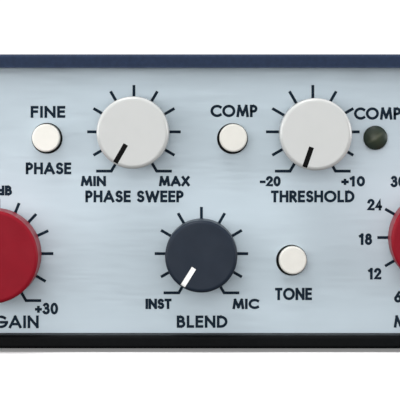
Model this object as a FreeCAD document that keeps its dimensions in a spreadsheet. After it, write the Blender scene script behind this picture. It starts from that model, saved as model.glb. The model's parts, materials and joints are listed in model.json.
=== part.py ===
"""Desktop microphone and instrument preamp, built as separate pieces in a parametric FreeCAD document.

Millimetres. +Z is up, the front panel faces -Y and +X is the right-hand side as the front is seen.
The origin is on the surface the feet stand on, under the centre of the whole object.

The casing is a top cover and a bottom tray screwed to two side rails. The front and rear panels are screwed
to the ends of the rails, and stand back from the casing's edges, which form a lip all round. Behind the front
panel a control board carries the potentiometers, the rotary gain switch, the push switches and the lamps. The
main board lies over the tray and carries the transformers, capacitors and heat sink.
"""
import FreeCAD, Part
import math
import os

import Sketcher
from FreeCAD import Placement, Rotation, Vector

doc = FreeCAD.newDocument("microphone_preamp")

# ---------------------------------------------------------------- driving dimensions

DIMENSIONS = {
    # casing
    "case_width": 216, "case_height": 61.5, "case_depth": 165, "wall": 2.8, "corner_radius": 2.4,
    "lip_round": 0.7, "recess": 7, "seam_gap": 0.1, "vent_length": 26, "vent_width": 2.4, "vent_pitch": 6,
    # feet
    "foot_height": 0.8, "foot_radius": 6.35, "foot_inset": 17, "foot_edge": 0.3,
    # panels and their screws
    "panel_thickness": 2, "panel_gap": 0.06, "panel_screw_inset": 4.6, "panel_screw_rise": 5.6,
    "screw_radius": 1.45, "screw_hole_radius": 1.6, "screw_head_radius": 2.8, "screw_head_height": 1.35,
    "screw_length": 8, "screw_rim": 0.2, "screw_socket_flats": 2, "screw_socket_depth": 1.3,
    "countersink_radius": 2.95, "thread_gap": 0.05,
    # side rails and the screws that hold the casing to them
    "rail_web": 2.4, "rail_boss": 8.2, "rail_boss_height": 8,
    "side_screw_rise": 17.6, "end_screw_inset": 29.7,
    # places on the front panel, with heights above the casing's underside
    "knob_row_low": 19.5, "knob_row_high": 45.3, "button_row_low": 18.3, "button_row_high": 44,
    "inst_gain_x": -43.4, "phase_sweep_x": -14.2, "blend_x": 0, "threshold_x": 23.8, "mic_gain_x": 49,
    "phase_sweep_drop": 0.1, "threshold_drop": 0.45, "mic_gain_rise": 3.5,
    "fine_phase_x": -32.6, "comp_x": 6.7, "tone_x": 19.2, "comp_led_x": 36.6,
    "pad_x": -66, "phantom_x": 73.5, "highpass_x": 85.5, "power_led_x": -92,
    "meter_x": 92.6, "meter_low": 13.5, "meter_pitch": 5,
    # knobs, above the panel's face
    "knob_reach": 8.5, "knob_gap": 0.8, "knob_radius": 7.5, "knob_height": 13, "knob_flare": 0.05,
    "big_knob_radius": 9.7, "big_knob_height": 15.5, "knob_round": 0.75, "knob_skin": 1.2,
    "pointer_width": 1.05, "pointer_inner": 2.8, "pointer_depth": 0.35, "pointer_rim": 0.3,
    "socket_depth": 5.4,
    # potentiometers
    "bushing_radius": 3.5, "bushing_reach": 5, "shaft_radius": 3, "shaft_reach": 11, "shaft_tail": 6,
    "running_gap": 0.05, "pot_radius": 8, "pot_depth": 8, "gain_switch_radius": 12.4,
    "nut_flats": 10, "nut_height": 2, "washer_radius": 5.9, "washer_height": 0.5, "bushing_hole_gap": 0.1,
    # push buttons
    "button_radius": 2.93, "button_hole_radius": 3.26, "cap_play": 0.17, "cap_round": 0.35,
    "button_reach": 3.2, "button_tail": 3.8, "stem_radius": 1.5, "stem_end": 10,
    "switch_size": 8, "switch_face": 6.2, "switch_bore_end": 12.6, "switch_collar_radius": 2.6,
    # lamps
    "led_radius": 2.5, "small_led_radius": 1.5, "led_rim": 0.35, "led_gap": 0.06, "led_reach": 1.5,
    # boards
    "board_thickness": 1.6, "control_board_setback": 14, "control_board_height": 48, "control_board_rise": 3,
    "main_board_side_gap": 14, "main_board_end_gap": 3, "standoff_height": 6, "standoff_radius": 3,
    # transformers: a screened can, and a laminated core whose windows are half as wide as its middle leg
    "can_width": 32, "can_height": 30, "can_corner": 5, "can_top_round": 2,
    "core_length": 38, "core_depth": 16, "core_height": 32, "core_window": 6.4, "winding_depth": 27,
    # capacitors
    "capacitor_radius": 5, "capacitor_height": 20, "capacitor_groove": 0.4, "capacitor_pitch_x": 11.5,
    "capacitor_pitch_y": 13,
    # heat sink and the regulators on it
    "fin_thickness": 1.2, "fin_depth": 10, "fin_height": 25, "fin_pitch": 4.8, "sink_plate": 2.5,
    "regulator_width": 10, "regulator_depth": 4.4, "regulator_height": 15, "regulator_rise": 6,
    "regulator_spacing": 22, "regulator_lead": 1, "regulator_lead_pitch": 2.5,
    # ribbon cable and its headers
    "ribbon_width": 26, "ribbon_thickness": 0.9, "ribbon_rise": 20, "ribbon_run": 12,
    "header_width": 30, "header_depth": 5, "header_height": 8, "ribbon_x": -14,
    # rear connectors, with heights above the casing's underside
    "connector_row": 30.6, "jack_row": 17.6, "mic_input_x": -6, "line_output_x": 30,
    "thru_jack_x": -36, "inst_jack_x": -58, "ground_lift_x": -82, "ground_lift_row": 14.6,
    "power_switch_x": 62, "dc_inlet_x": 86,
    "flange_width": 26, "flange_height": 31, "flange_thickness": 1.6, "flange_corner": 3,
    "barrel_radius": 11.8, "barrel_depth": 18, "flange_screw_x": 9.5, "flange_screw_y": 12,
    "pin_circle": 4.4, "pin_radius": 1.2, "pin_end": 1.6, "contact_radius": 1.35, "contact_depth": 12,
    "input_well_radius": 9.6, "insert_radius": 7.7, "well_depth": 15, "output_well_radius": 8.1,
    "latch_width": 4.4, "latch_low": 8.7, "latch_high": 10.6, "latch_gap": 0.25, "latch_length": 9,
    "latch_reach": 2.4, "latch_slot_low": 7.5, "latch_slot_depth": 11,
    "jack_bore_radius": 3.25, "jack_bush_radius": 4.75, "jack_bush_reach": 4.6, "jack_bore_end": 26,
    "jack_body_width": 16.4, "jack_body_depth": 28, "jack_nut_flats": 13,
    "dc_flange_radius": 7, "dc_barrel_radius": 5.4, "dc_bore_radius": 2.8, "dc_bore_depth": 11,
    "dc_barrel_depth": 16, "dc_pin_radius": 1.05,
    "rocker_width": 9, "rocker_frame_width": 15, "rocker_frame_height": 21, "rocker_tilt": 10,
    "rocker_well_height": 16.6, "rocker_pivot_depth": 2.5, "rocker_pivot_radius": 1, "rocker_block_depth": 18,
    "rocker_flange": 1.8,
}

sheet = doc.addObject("Spreadsheet::Sheet", "Sizes")
for number, (alias, size) in enumerate(DIMENSIONS.items(), 1):
    sheet.set(f"A{number}", alias.replace("_", " "))
    sheet.set(f"B{number}", str(size))
    sheet.setAlias(f"B{number}", alias)
doc.recompute()


def size(name):
    """The cell of that alias, as it is written in an expression."""
    return f"Sizes.{name}"


def height(name):
    """The height of a row of controls or connectors, which the sheet gives above the casing's underside."""
    return f"(Sizes.foot_height + Sizes.{name})"


# ---------------------------------------------------------------- places that follow from the sizes

LIP_Y = "(Sizes.knob_reach / 2 - Sizes.case_depth / 2)"
FACE_Y = f"({LIP_Y} + Sizes.recess)"
REAR_LIP_Y = f"({LIP_Y} + Sizes.case_depth)"
BACK_Y = f"({REAR_LIP_Y} - Sizes.recess)"
FLOOR_Z = "(Sizes.foot_height + Sizes.wall)"
TOP_Z = "(Sizes.foot_height + Sizes.case_height)"
CEILING_Z = f"({TOP_Z} - Sizes.wall)"
INNER_X = "(Sizes.case_width / 2 - Sizes.wall)"
CONTROL_BOARD_Y = f"({FACE_Y} + Sizes.control_board_setback)"
BOARD_TOP_Z = f"({FLOOR_Z} + Sizes.standoff_height + Sizes.board_thickness)"
PANEL_SCREW_X = f"({INNER_X} - Sizes.panel_screw_inset)"
PANEL_SCREW_ZS = [f"({FLOOR_Z} + Sizes.panel_screw_rise)", f"({CEILING_Z} - Sizes.panel_screw_rise)"]

KNOBS = {
    "inst_gain": (size("inst_gain_x"), height("knob_row_low")),
    "phase_sweep": (size("phase_sweep_x"), f"({height('knob_row_high')} - Sizes.phase_sweep_drop)"),
    "blend": (size("blend_x"), height("knob_row_low")),
    "threshold": (size("threshold_x"), f"({height('knob_row_high')} - Sizes.threshold_drop)"),
    "mic_gain": (size("mic_gain_x"), f"({height('knob_row_low')} + Sizes.mic_gain_rise)"),
}
BIG_KNOBS = ("inst_gain", "mic_gain")
# where each pointer line stands with its shaft against the lower stop, in degrees clockwise from the top
POINTER_AT_REST = {"inst_gain": -150, "phase_sweep": -150, "blend": -148, "threshold": -161, "mic_gain": -180}

BUTTONS = {
    "fine_phase": (size("fine_phase_x"), height("button_row_high")),
    "comp": (size("comp_x"), height("button_row_high")),
    "tone": (size("tone_x"), height("button_row_low")),
    "pad": (size("pad_x"), height("button_row_high")),
    "phantom": (size("phantom_x"), height("button_row_high")),
    "highpass": (size("highpass_x"), height("button_row_high")),
    "polarity": (size("phantom_x"), height("button_row_low")),
}
# the caps that rest against one side of their holes, as steps right and up by the play
CAP_SHIFTS = {"fine_phase": (-0.6, 0.7), "comp": (1, 1), "tone": (1.3, 0.5)}

METER_LAMPS = 8
METER_ZS = [f"({height('meter_low')} + {n} * Sizes.meter_pitch)" for n in range(METER_LAMPS)]

MAIN_BOARD_X = "(Sizes.case_width / 2 - Sizes.main_board_side_gap)"
MAIN_BOARD_FRONT = f"({CONTROL_BOARD_Y} + Sizes.board_thickness + Sizes.main_board_end_gap)"
MAIN_BOARD_BACK = f"({BACK_Y} - Sizes.panel_thickness - 2)"
STANDOFF_PLACES = [(f"{side} * ({MAIN_BOARD_X} - 5)", y) for side in (-1, 0, 1)
                   for y in (f"({MAIN_BOARD_FRONT} + 6)", f"({MAIN_BOARD_BACK} - 28)")]

# turned into a panel's own frame: local X across, local Y up, local Z out towards a person facing it
OUT_FRONT = Rotation(Vector(1, 0, 0), 90)
OUT_REAR = Rotation(Vector(0, 0, 1), 180) * OUT_FRONT
OUT_RIGHT = Rotation(Vector(0, 1, 0), 90)
OUT_LEFT = Rotation(Vector(0, 1, 0), -90)
OUT_BELOW = Rotation(Vector(1, 0, 0), 180)

SUBPARTS = {}


# ---------------------------------------------------------------- helpers

def value(expression):
    """What an expression over the sheet comes to, as a number."""
    return float(sheet.evalExpression(str(expression)))


def keep(node, thing):
    """Marks a document object as the sub-part that is written to parts/NODE.step."""
    thing.Label = node
    SUBPARTS[node] = thing
    return thing


def place(thing, x="0", y="0", z="0", turn=None):
    """Puts an object at a point given by expressions, turned by a fixed rotation."""
    thing.Placement = Placement(Vector(), turn or Rotation())
    for axis, expression in zip("xyz", (x, y, z)):
        thing.setExpression(f".Placement.Base.{axis}", str(expression))
    return thing


def bind(thing, **sizes):
    for name, expression in sizes.items():
        thing.setExpression(name, str(expression))
    return thing


def box(name, length, width, height, x="0", y="0", z="0", centre=""):
    """A Part box. An axis named in centre is measured from the box's middle, the others from its low side."""
    made = doc.addObject("Part::Box", name)
    bind(made, Length=length, Width=width, Height=height)
    starts = []
    for axis, start, span in (("x", x, length), ("y", y, width), ("z", z, height)):
        starts.append(f"{start} - ({span}) / 2" if axis in centre else start)
    return place(made, *starts)


def rod(name, radius, low, high, x="0", y="0", sides=0):
    """A cylinder along local Z from low to high; with sides it is a prism measured across its flats."""
    if sides:
        made = doc.addObject("Part::Prism", name)
        made.Polygon = sides
        bind(made, Circumradius=f"({radius}) / {math.cos(math.pi / sides):.9f}")
    else:
        made = doc.addObject("Part::Cylinder", name)
        bind(made, Radius=radius)
    bind(made, Height=f"({high}) - ({low})")
    return place(made, x, y, low)


def cone(name, low_radius, high_radius, low, high, x="0", y="0"):
    made = doc.addObject("Part::Cone", name)
    bind(made, Radius1=low_radius, Radius2=high_radius, Height=f"({high}) - ({low})")
    return place(made, x, y, low)


def fuse(name, *things):
    made = doc.addObject("Part::MultiFuse", name)
    made.Shapes = list(things)
    made.Refine = True
    return made


def cut(name, base, *tools):
    made = doc.addObject("Part::Cut", name)
    made.Base = base
    made.Tool = tools[0] if len(tools) == 1 else fuse(f"{name}_tools", *tools)
    made.Refine = True
    return made


def repeat(name, template, places):
    """A compound of copies of one template; each place is (x, y, z, rotation)."""
    copies = []
    for number, (x, y, z, turn) in enumerate(places, 1):
        copy = doc.addObject("App::Link", f"{name}_{number}")
        copy.LinkedObject = template
        copy.LinkTransform = True
        copies.append(place(copy, x, y, z, turn))
    made = doc.addObject("Part::Compound", f"{name}_group")
    made.Links = copies
    return made


def group(node, template, places):
    """Copies of one template as the separate solids of one sub-part."""
    return keep(node, repeat(node, template, places))


def upright(places):
    """Places (x, y, z) with no turn."""
    return [(x, y, z, Rotation()) for x, y, z in places]


def body(name):
    return doc.addObject("PartDesign::Body", name)


def sketch_on(owner, role, name):
    """An empty sketch on one of a body's own origin planes."""
    plane = next(f for f in owner.Origin.OriginFeatures if f.Role == role)
    made = owner.newObject("Sketcher::SketchObject", name)
    made.AttachmentSupport = [(plane, "")]
    made.MapMode = "FlatFace"
    return made


def pin_point(sketch, element, point, x, y):
    """Fixes a sketch point from the sketch's origin by two expressions."""
    for kind, expression in (("DistanceX", x), ("DistanceY", y)):
        constraint = Sketcher.Constraint(kind, -1, 1, element, point, value(expression))
        index = sketch.addConstraint(constraint)
        sketch.setExpression(f"Constraints[{index}]", str(expression))


def outline(sketch, points):
    """A closed polygon whose corners are pairs of expressions."""
    first = sketch.GeometryCount
    corners = [Vector(value(x), value(y), 0) for x, y in points]
    count = len(corners)
    for index in range(count):
        sketch.addGeometry(Part.LineSegment(corners[index], corners[(index + 1) % count]), False)
    for index in range(count):
        following = first + (index + 1) % count
        sketch.addConstraint(Sketcher.Constraint("Coincident", first + index, 2, following, 1))
    for index, (x, y) in enumerate(points):
        pin_point(sketch, first + index, 1, x, y)


def rectangle(sketch, low_x, low_y, high_x, high_y):
    outline(sketch, [(low_x, low_y), (high_x, low_y), (high_x, high_y), (low_x, high_y)])


def circle(sketch, x, y, radius):
    centre = Vector(value(x), value(y), 0)
    element = sketch.addGeometry(Part.Circle(centre, Vector(0, 0, 1), value(radius)), False)
    index = sketch.addConstraint(Sketcher.Constraint("Radius", element, value(radius)))
    sketch.setExpression(f"Constraints[{index}]", str(radius))
    pin_point(sketch, element, 3, x, y)


def pad(owner, sketch, length, reverse=False):
    made = owner.newObject("PartDesign::Pad", f"{owner.Name}_pad")
    made.Profile = sketch
    made.Reversed = reverse
    bind(made, Length=length)
    sketch.Visibility = False
    return made


def pocket_through(owner, sketch):
    """Cuts a sketch through the whole body, both ways from its plane."""
    made = owner.newObject("PartDesign::Pocket", f"{owner.Name}_pocket")
    made.Profile = sketch
    made.Type = "ThroughAll"
    made.SideType = "Symmetric"
    sketch.Visibility = False
    return made


def revolve(owner, sketch):
    """Turns a sketch on the body's XZ plane a full turn about the body's Z axis."""
    made = owner.newObject("PartDesign::Revolution", f"{owner.Name}_revolution")
    made.Profile = sketch
    made.ReferenceAxis = (sketch, ["V_Axis"])
    made.Angle = 360
    sketch.Visibility = False
    return made


def edges_where(feature, test):
    """The names of the edges of a feature's shape that pass a test, for a fillet or chamfer."""
    return [f"Edge{n}" for n, edge in enumerate(feature.Shape.Edges, 1) if test(edge)]


def fillet(owner, feature, radius, test):
    doc.recompute()
    made = owner.newObject("PartDesign::Fillet", f"{owner.Name}_fillet")
    made.Base = (feature, edges_where(feature, test))
    bind(made, Radius=radius)
    return made


def near(number, expression, reach=0.01):
    return abs(number - value(expression)) < reach


def is_straight(edge):
    return isinstance(edge.Curve, Part.Line)


def runs_along(edge, axis):
    """Whether a straight edge runs along an axis, 0 for X, 1 for Y and 2 for Z."""
    return is_straight(edge) and abs(abs(edge.Curve.Direction[axis]) - 1) < 1e-6


# ---------------------------------------------------------------- fasteners

def countersunk_screw():
    """An M3 countersunk socket screw: local Z comes out of its head, and its head's face is at local zero."""
    owner = body("screw_template")
    profile = sketch_on(owner, "XZ_Plane", "screw_profile")
    outline(profile, [
        ("0", "0"),
        (size("screw_head_radius"), "0"),
        (size("screw_head_radius"), "-Sizes.screw_rim"),
        (size("screw_radius"), "-Sizes.screw_rim - Sizes.screw_head_height"),
        (size("screw_radius"), "-Sizes.screw_length"),
        ("0", "-Sizes.screw_length"),
    ])
    revolve(owner, profile)
    socket = rod("screw_socket", "Sizes.screw_socket_flats / 2", "-Sizes.screw_socket_depth", "1", sides=6)
    return cut("screw_with_socket", owner, socket)


SCREW = countersunk_screw()


def countersinks(name, places):
    """The clearance holes and countersinks for screws at (x, y, z, rotation) places, as one cutting tool."""
    shank = rod(f"{name}_shank", size("screw_hole_radius"), "-20", "1")
    seat = cone(f"{name}_seat", size("screw_hole_radius"), size("countersink_radius"),
                "-Sizes.screw_rim - Sizes.screw_head_height", "-Sizes.screw_rim")
    mouth = rod(f"{name}_mouth", size("countersink_radius"), "-Sizes.screw_rim", "1")
    return repeat(name, fuse(f"{name}_tool", shank, seat, mouth), places)


def tapped_holes(name, places):
    """The blind holes that screws at those places run into, as one cutting tool."""
    drill = rod(f"{name}_drill", "Sizes.screw_radius + Sizes.thread_gap", "-Sizes.screw_length - 1", "0")
    return repeat(name, drill, places)


PANEL_CORNERS = [(f"{side} * {PANEL_SCREW_X}", z) for side in (-1, 1) for z in PANEL_SCREW_ZS]
FRONT_SCREWS = [(x, FACE_Y, z, OUT_FRONT) for x, z in PANEL_CORNERS]
REAR_SCREWS = [(x, BACK_Y, z, OUT_REAR) for x, z in PANEL_CORNERS]
CASE_SCREW_YS = [f"({LIP_Y} + Sizes.end_screw_inset)", f"({REAR_LIP_Y} - Sizes.end_screw_inset)"]
SIDE_SCREW_Z = f"({FLOOR_Z} + Sizes.side_screw_rise)"
COVER_SCREWS = [(f"{side} * Sizes.case_width / 2", y, SIDE_SCREW_Z, turn)
                for side, turn in ((-1, OUT_LEFT), (1, OUT_RIGHT)) for y in CASE_SCREW_YS]
TRAY_SCREWS = [(f"{side} * {PANEL_SCREW_X}", y, size("foot_height"), OUT_BELOW)
               for side in (-1, 1) for y in CASE_SCREW_YS]
VENT_COUNT = 20
VENT_XS = [f"{n - (VENT_COUNT - 1) / 2} * Sizes.vent_pitch" for n in range(VENT_COUNT)]
FOOT_PLACES = [(f"{sx} * (Sizes.case_width / 2 - Sizes.foot_inset)",
                f"{LIP_Y} + Sizes.case_depth / 2 + {sy} * (Sizes.case_depth / 2 - Sizes.foot_inset)")
               for sx in (-1, 1) for sy in (-1, 1)]


# ---------------------------------------------------------------- casing

def top_cover():
    """The blue cover: a top and two side walls folded from one sheet, with rounded lips and vent slots."""
    owner = body("top_cover_body")
    profile = sketch_on(owner, "XZ_Plane", "cover_profile")
    seam = f"{FLOOR_Z} + Sizes.seam_gap"
    outline(profile, [
        ("-Sizes.case_width / 2", seam),
        ("-Sizes.case_width / 2", TOP_Z),
        ("Sizes.case_width / 2", TOP_Z),
        ("Sizes.case_width / 2", seam),
        (INNER_X, seam),
        (INNER_X, CEILING_Z),
        (f"-{INNER_X}", CEILING_Z),
        (f"-{INNER_X}", seam),
    ])
    shell = pad(owner, profile, size("case_depth"), reverse=True)
    place(owner, y=LIP_Y)
    folded = fillet(owner, shell, size("corner_radius"),
                    lambda e: runs_along(e, 1) and near(e.CenterOfMass.z, TOP_Z))
    fillet(owner, folded, size("lip_round"), is_outer_lip)
    slot = box("vent_slot", size("vent_width"), size("vent_length"), "Sizes.wall + 2", centre="xy")
    ends = [rod(f"vent_end_{n}", "Sizes.vent_width / 2", "0", "Sizes.wall + 2",
                y=f"{side} * Sizes.vent_length / 2") for n, side in enumerate((-1, 1))]
    places = [(x, f"{LIP_Y} + Sizes.case_depth * 0.74", f"{CEILING_Z} - 1") for x in VENT_XS]
    vents = repeat("vents", fuse("vent_tool", slot, *ends), upright(places))
    keep("top_cover", cut("cover_drilled", owner, vents, countersinks("cover_sink", COVER_SCREWS)))


def is_outer_lip(edge):
    """Whether an edge of the folded cover lies at its front or back end and on its outer outline."""
    centre, half = edge.CenterOfMass, value("Sizes.case_depth / 2")
    outside = near(abs(centre.x), "Sizes.case_width / 2") or near(centre.z, TOP_Z) or not is_straight(edge)
    return outside and abs(abs(centre.y - half) - half) < 0.01


def bottom_tray():
    """The black tray that closes the casing from below, with vent slots and holes for its screws."""
    owner = body("bottom_tray_body")
    profile = sketch_on(owner, "XZ_Plane", "tray_profile")
    rectangle(profile, "-Sizes.case_width / 2", size("foot_height"), "Sizes.case_width / 2", FLOOR_Z)
    plate = pad(owner, profile, size("case_depth"), reverse=True)
    place(owner, y=LIP_Y)
    folded = fillet(owner, plate, "Sizes.corner_radius * 0.8",
                    lambda e: runs_along(e, 1) and near(e.CenterOfMass.z, "Sizes.foot_height"))
    half = value("Sizes.case_depth") / 2
    fillet(owner, folded, size("lip_round"),
           lambda e: runs_along(e, 0) and abs(abs(e.CenterOfMass.y - half) - half) < 0.01)
    slot = box("tray_vent", size("vent_width"), size("vent_length"), "Sizes.wall + 2", centre="xy")
    vent_y = f"{LIP_Y} + Sizes.case_depth * 0.55"
    vents = repeat("tray_vents", slot, upright((x, vent_y, "Sizes.foot_height - 1") for x in VENT_XS))
    hole = rod("tray_hole", "Sizes.screw_radius + Sizes.thread_gap", "0", "Sizes.wall + 2")
    places = [(x, y, "Sizes.foot_height - 1") for x, y in STANDOFF_PLACES]
    holes = repeat("tray_holes", hole, upright(places))
    keep("bottom_tray", cut("tray_drilled", owner, vents, holes, countersinks("tray_sink", TRAY_SCREWS)))


def side_rail(node, side):
    """An extruded rail: a web against the cover's wall and two bosses that take the panel screws."""
    owner = body(f"{node}_body")
    profile = sketch_on(owner, "XZ_Plane", f"{node}_profile")
    outer = f"{side} * ({INNER_X} - Sizes.seam_gap)"
    web = f"{side} * ({INNER_X} - Sizes.seam_gap - Sizes.rail_web)"
    boss = f"{side} * ({INNER_X} - Sizes.seam_gap - Sizes.rail_boss)"
    low, high = f"{FLOOR_Z} + Sizes.seam_gap / 2", f"{CEILING_Z} - Sizes.seam_gap"
    outline(profile, [
        (outer, low),
        (boss, low),
        (boss, f"{PANEL_SCREW_ZS[0]} + Sizes.rail_boss_height / 2"),
        (web, f"{PANEL_SCREW_ZS[0]} + Sizes.rail_boss_height / 2"),
        (web, f"{PANEL_SCREW_ZS[1]} - Sizes.rail_boss_height / 2"),
        (boss, f"{PANEL_SCREW_ZS[1]} - Sizes.rail_boss_height / 2"),
        (boss, high),
        (outer, high),
    ])
    pad(owner, profile, f"{BACK_Y} - {FACE_Y} - 2 * Sizes.panel_thickness - 0.1", reverse=True)
    place(owner, y=f"{FACE_Y} + Sizes.panel_thickness + 0.05")
    all_screws = FRONT_SCREWS + REAR_SCREWS + TRAY_SCREWS + COVER_SCREWS
    screws = [spot for spot in all_screws if value(spot[0]) * side > 0]
    keep(node, cut(f"{node}_drilled", owner, tapped_holes(f"{node}_holes", screws)))


def feet():
    """Four thin rubber pads stuck under the tray, each with a bevelled edge."""
    owner = body("foot_template")
    profile = sketch_on(owner, "XZ_Plane", "foot_profile")
    outline(profile, [
        ("0", "0"),
        ("0", "-Sizes.foot_height"),
        ("Sizes.foot_radius - Sizes.foot_edge", "-Sizes.foot_height"),
        ("Sizes.foot_radius", "-Sizes.foot_height + Sizes.foot_edge"),
        ("Sizes.foot_radius", "0"),
    ])
    revolve(owner, profile)
    group("rubber_feet", owner, upright((x, y, size("foot_height")) for x, y in FOOT_PLACES))


# ---------------------------------------------------------------- panels

def panel_blank(owner, y, holes):
    """A panel plate with round holes at (x, z, radius), its outer face on the body's XZ plane."""
    plate = sketch_on(owner, "XZ_Plane", f"{owner.Name}_plate")
    edge = f"({INNER_X} - Sizes.panel_gap)"
    rectangle(plate, f"-{edge}", f"{FLOOR_Z} + Sizes.panel_gap", edge, f"{CEILING_Z} - Sizes.panel_gap")
    pad(owner, plate, size("panel_thickness"), reverse=True)
    drilled = sketch_on(owner, "XZ_Plane", f"{owner.Name}_holes")
    for x, z, radius in holes:
        circle(drilled, x, z, radius)
    doc.recompute()
    pocket_through(owner, drilled)
    place(owner, y=y)


def front_panel():
    owner = body("front_panel_body")
    bushing = "Sizes.bushing_radius + Sizes.bushing_hole_gap"
    holes = [(x, z, bushing) for x, z in KNOBS.values()]
    for name, (x, z) in BUTTONS.items():
        right, up = CAP_SHIFTS.get(name, (0, 0))
        holes.append((f"{x} - {right} * Sizes.cap_play", f"{z} - {up} * Sizes.cap_play",
                      size("button_hole_radius")))
    small_lamp_hole = "Sizes.small_led_radius + Sizes.led_gap"
    holes.append((size("comp_led_x"), height("button_row_high"), "Sizes.led_radius + Sizes.led_gap"))
    holes.append((size("power_led_x"), height("button_row_high"), small_lamp_hole))
    holes += [(size("meter_x"), z, small_lamp_hole) for z in METER_ZS]
    panel_blank(owner, FACE_Y, holes)
    keep("front_panel", cut("front_panel_sunk", owner, countersinks("front_sink", FRONT_SCREWS)))


def rear_panel():
    owner = body("rear_panel_body")
    holes = [
        (size("mic_input_x"), height("connector_row"), "Sizes.barrel_radius + 0.2"),
        (size("line_output_x"), height("connector_row"), "Sizes.barrel_radius + 0.2"),
        (size("thru_jack_x"), height("jack_row"), "Sizes.jack_bush_radius + 0.15"),
        (size("inst_jack_x"), height("jack_row"), "Sizes.jack_bush_radius + 0.15"),
        (size("dc_inlet_x"), height("jack_row"), "Sizes.dc_barrel_radius + 0.15"),
        (size("ground_lift_x"), height("ground_lift_row"), size("button_hole_radius")),
    ]
    for x in (size("mic_input_x"), size("line_output_x")):
        for side in (-1, 1):
            holes.append((f"{x} + {side} * Sizes.flange_screw_x",
                          f"{height('connector_row')} + {side} * Sizes.flange_screw_y",
                          "Sizes.screw_radius + 0.1"))
    panel_blank(owner, f"{BACK_Y} - Sizes.panel_thickness", holes)
    window = box("rocker_window", "Sizes.rocker_frame_width - 1.8", "Sizes.panel_thickness + 2",
                 "Sizes.rocker_frame_height - 1.8", x=size("power_switch_x"),
                 y=f"{BACK_Y} - Sizes.panel_thickness - 1", z=height("connector_row"), centre="xz")
    keep("rear_panel", cut("rear_panel_sunk", owner, window, countersinks("rear_sink", REAR_SCREWS)))


# ---------------------------------------------------------------- knobs and their controls

def knob(name):
    """A moulded knob: a soft-edged drum, hollow below to clear the nut, with a groove for its pointer."""
    big = name in BIG_KNOBS
    radius = size("big_knob_radius" if big else "knob_radius")
    top = size("big_knob_height" if big else "knob_height")
    inner = size("pointer_inner")
    owner = body(f"{name}_knob_body")
    profile = sketch_on(owner, "XZ_Plane", f"{name}_knob_profile")
    hub_low, hub_high = "Sizes.knob_gap + Sizes.socket_depth", "Sizes.shaft_reach + 0.2"
    outline(profile, [
        ("0", top),
        (radius, top),
        (f"{radius} + Sizes.knob_flare", size("knob_gap")),
        (f"{radius} - Sizes.knob_skin", size("knob_gap")),
        (f"{radius} - Sizes.knob_skin", hub_low),
        ("Sizes.shaft_radius + Sizes.running_gap", hub_low),
        ("Sizes.shaft_radius + Sizes.running_gap", hub_high),
        ("0", hub_high),
    ])
    drum = revolve(owner, profile)
    fillet(owner, drum, size("knob_round"), lambda e: near(e.BoundBox.ZMin, top))
    groove = box(f"{name}_pointer_groove", size("pointer_width"), f"{radius} - Sizes.pointer_rim - {inner}",
                 "2", y=inner, z=f"{top} - Sizes.pointer_depth", centre="x")
    marked = cut(f"{name}_knob_marked", owner, groove)
    turn = OUT_FRONT * Rotation(Vector(0, 0, 1), -POINTER_AT_REST[name])
    x, z = KNOBS[name]
    keep(f"{name}_knob", place(marked, x, FACE_Y, z, turn))


def shaft(name):
    """The steel shaft that the knob is pressed on, with a flat along its outer half."""
    x, z = KNOBS[name]
    bar = rod(f"{name}_shaft_bar", size("shaft_radius"), "-Sizes.shaft_tail", size("shaft_reach"))
    flat = box(f"{name}_shaft_flat", "8", "3", "6", y="1.5", z="Sizes.shaft_reach - 5", centre="x")
    turn = OUT_FRONT * Rotation(Vector(0, 0, 1), -POINTER_AT_REST[name])
    keep(f"{name}_shaft", place(cut(f"{name}_shaft_cut", bar, flat), x, FACE_Y, z, turn))


def potentiometer(name):
    """The can, threaded bushing and solder pins of a potentiometer, or of the rotary gain switch."""
    x, z = KNOBS[name]
    switch = name == "mic_gain"
    radius = size("gain_switch_radius" if switch else "pot_radius")
    board = "Sizes.control_board_setback"
    can_end = f"(Sizes.panel_thickness + Sizes.pot_depth{' + 2' if switch else ''})"
    can = rod(f"{name}_can", radius, f"-{can_end}", "-Sizes.panel_thickness")
    bushing = rod(f"{name}_bushing", size("bushing_radius"), "-Sizes.panel_thickness - 1",
                  size("bushing_reach"))
    pins = []
    count, circle_share = (12, 0.84) if switch else (3, 0.6)
    for n in range(count):
        angle = math.radians(30 * n if switch else -120 + 30 * n)
        pins.append(rod(f"{name}_pin_{n}", "0.5", f"-{board}", f"-{can_end} + 1",
                        x=f"{circle_share * math.cos(angle):.6f} * {radius}",
                        y=f"{circle_share * math.sin(angle):.6f} * {radius}"))
    bore = rod(f"{name}_bore", "Sizes.shaft_radius + Sizes.running_gap", "-Sizes.shaft_tail - 0.4",
               "Sizes.bushing_reach + 1")
    solid = cut(f"{name}_bored", fuse(f"{name}_blank", can, bushing, *pins), bore)
    node = "mic_gain_switch" if switch else f"{name}_pot"
    keep(node, place(solid, x, FACE_Y, z, OUT_FRONT))


def nuts_and_washers():
    blank = rod("nut_blank", "Sizes.nut_flats / 2", "0", size("nut_height"), sides=6)
    nut = cut("nut_template", blank, rod("nut_bore", "Sizes.bushing_radius + 0.02", "-1", "4"))
    disc = rod("washer_blank", size("washer_radius"), "0", size("washer_height"))
    washer = cut("washer_template", disc, rod("washer_bore", "Sizes.bushing_radius + 0.08", "-1", "4"))
    on_washers = f"{FACE_Y} - Sizes.washer_height"
    group("pot_nuts", nut, [(x, on_washers, z, OUT_FRONT) for x, z in KNOBS.values()])
    group("pot_washers", washer, [(x, FACE_Y, z, OUT_FRONT) for x, z in KNOBS.values()])


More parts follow.
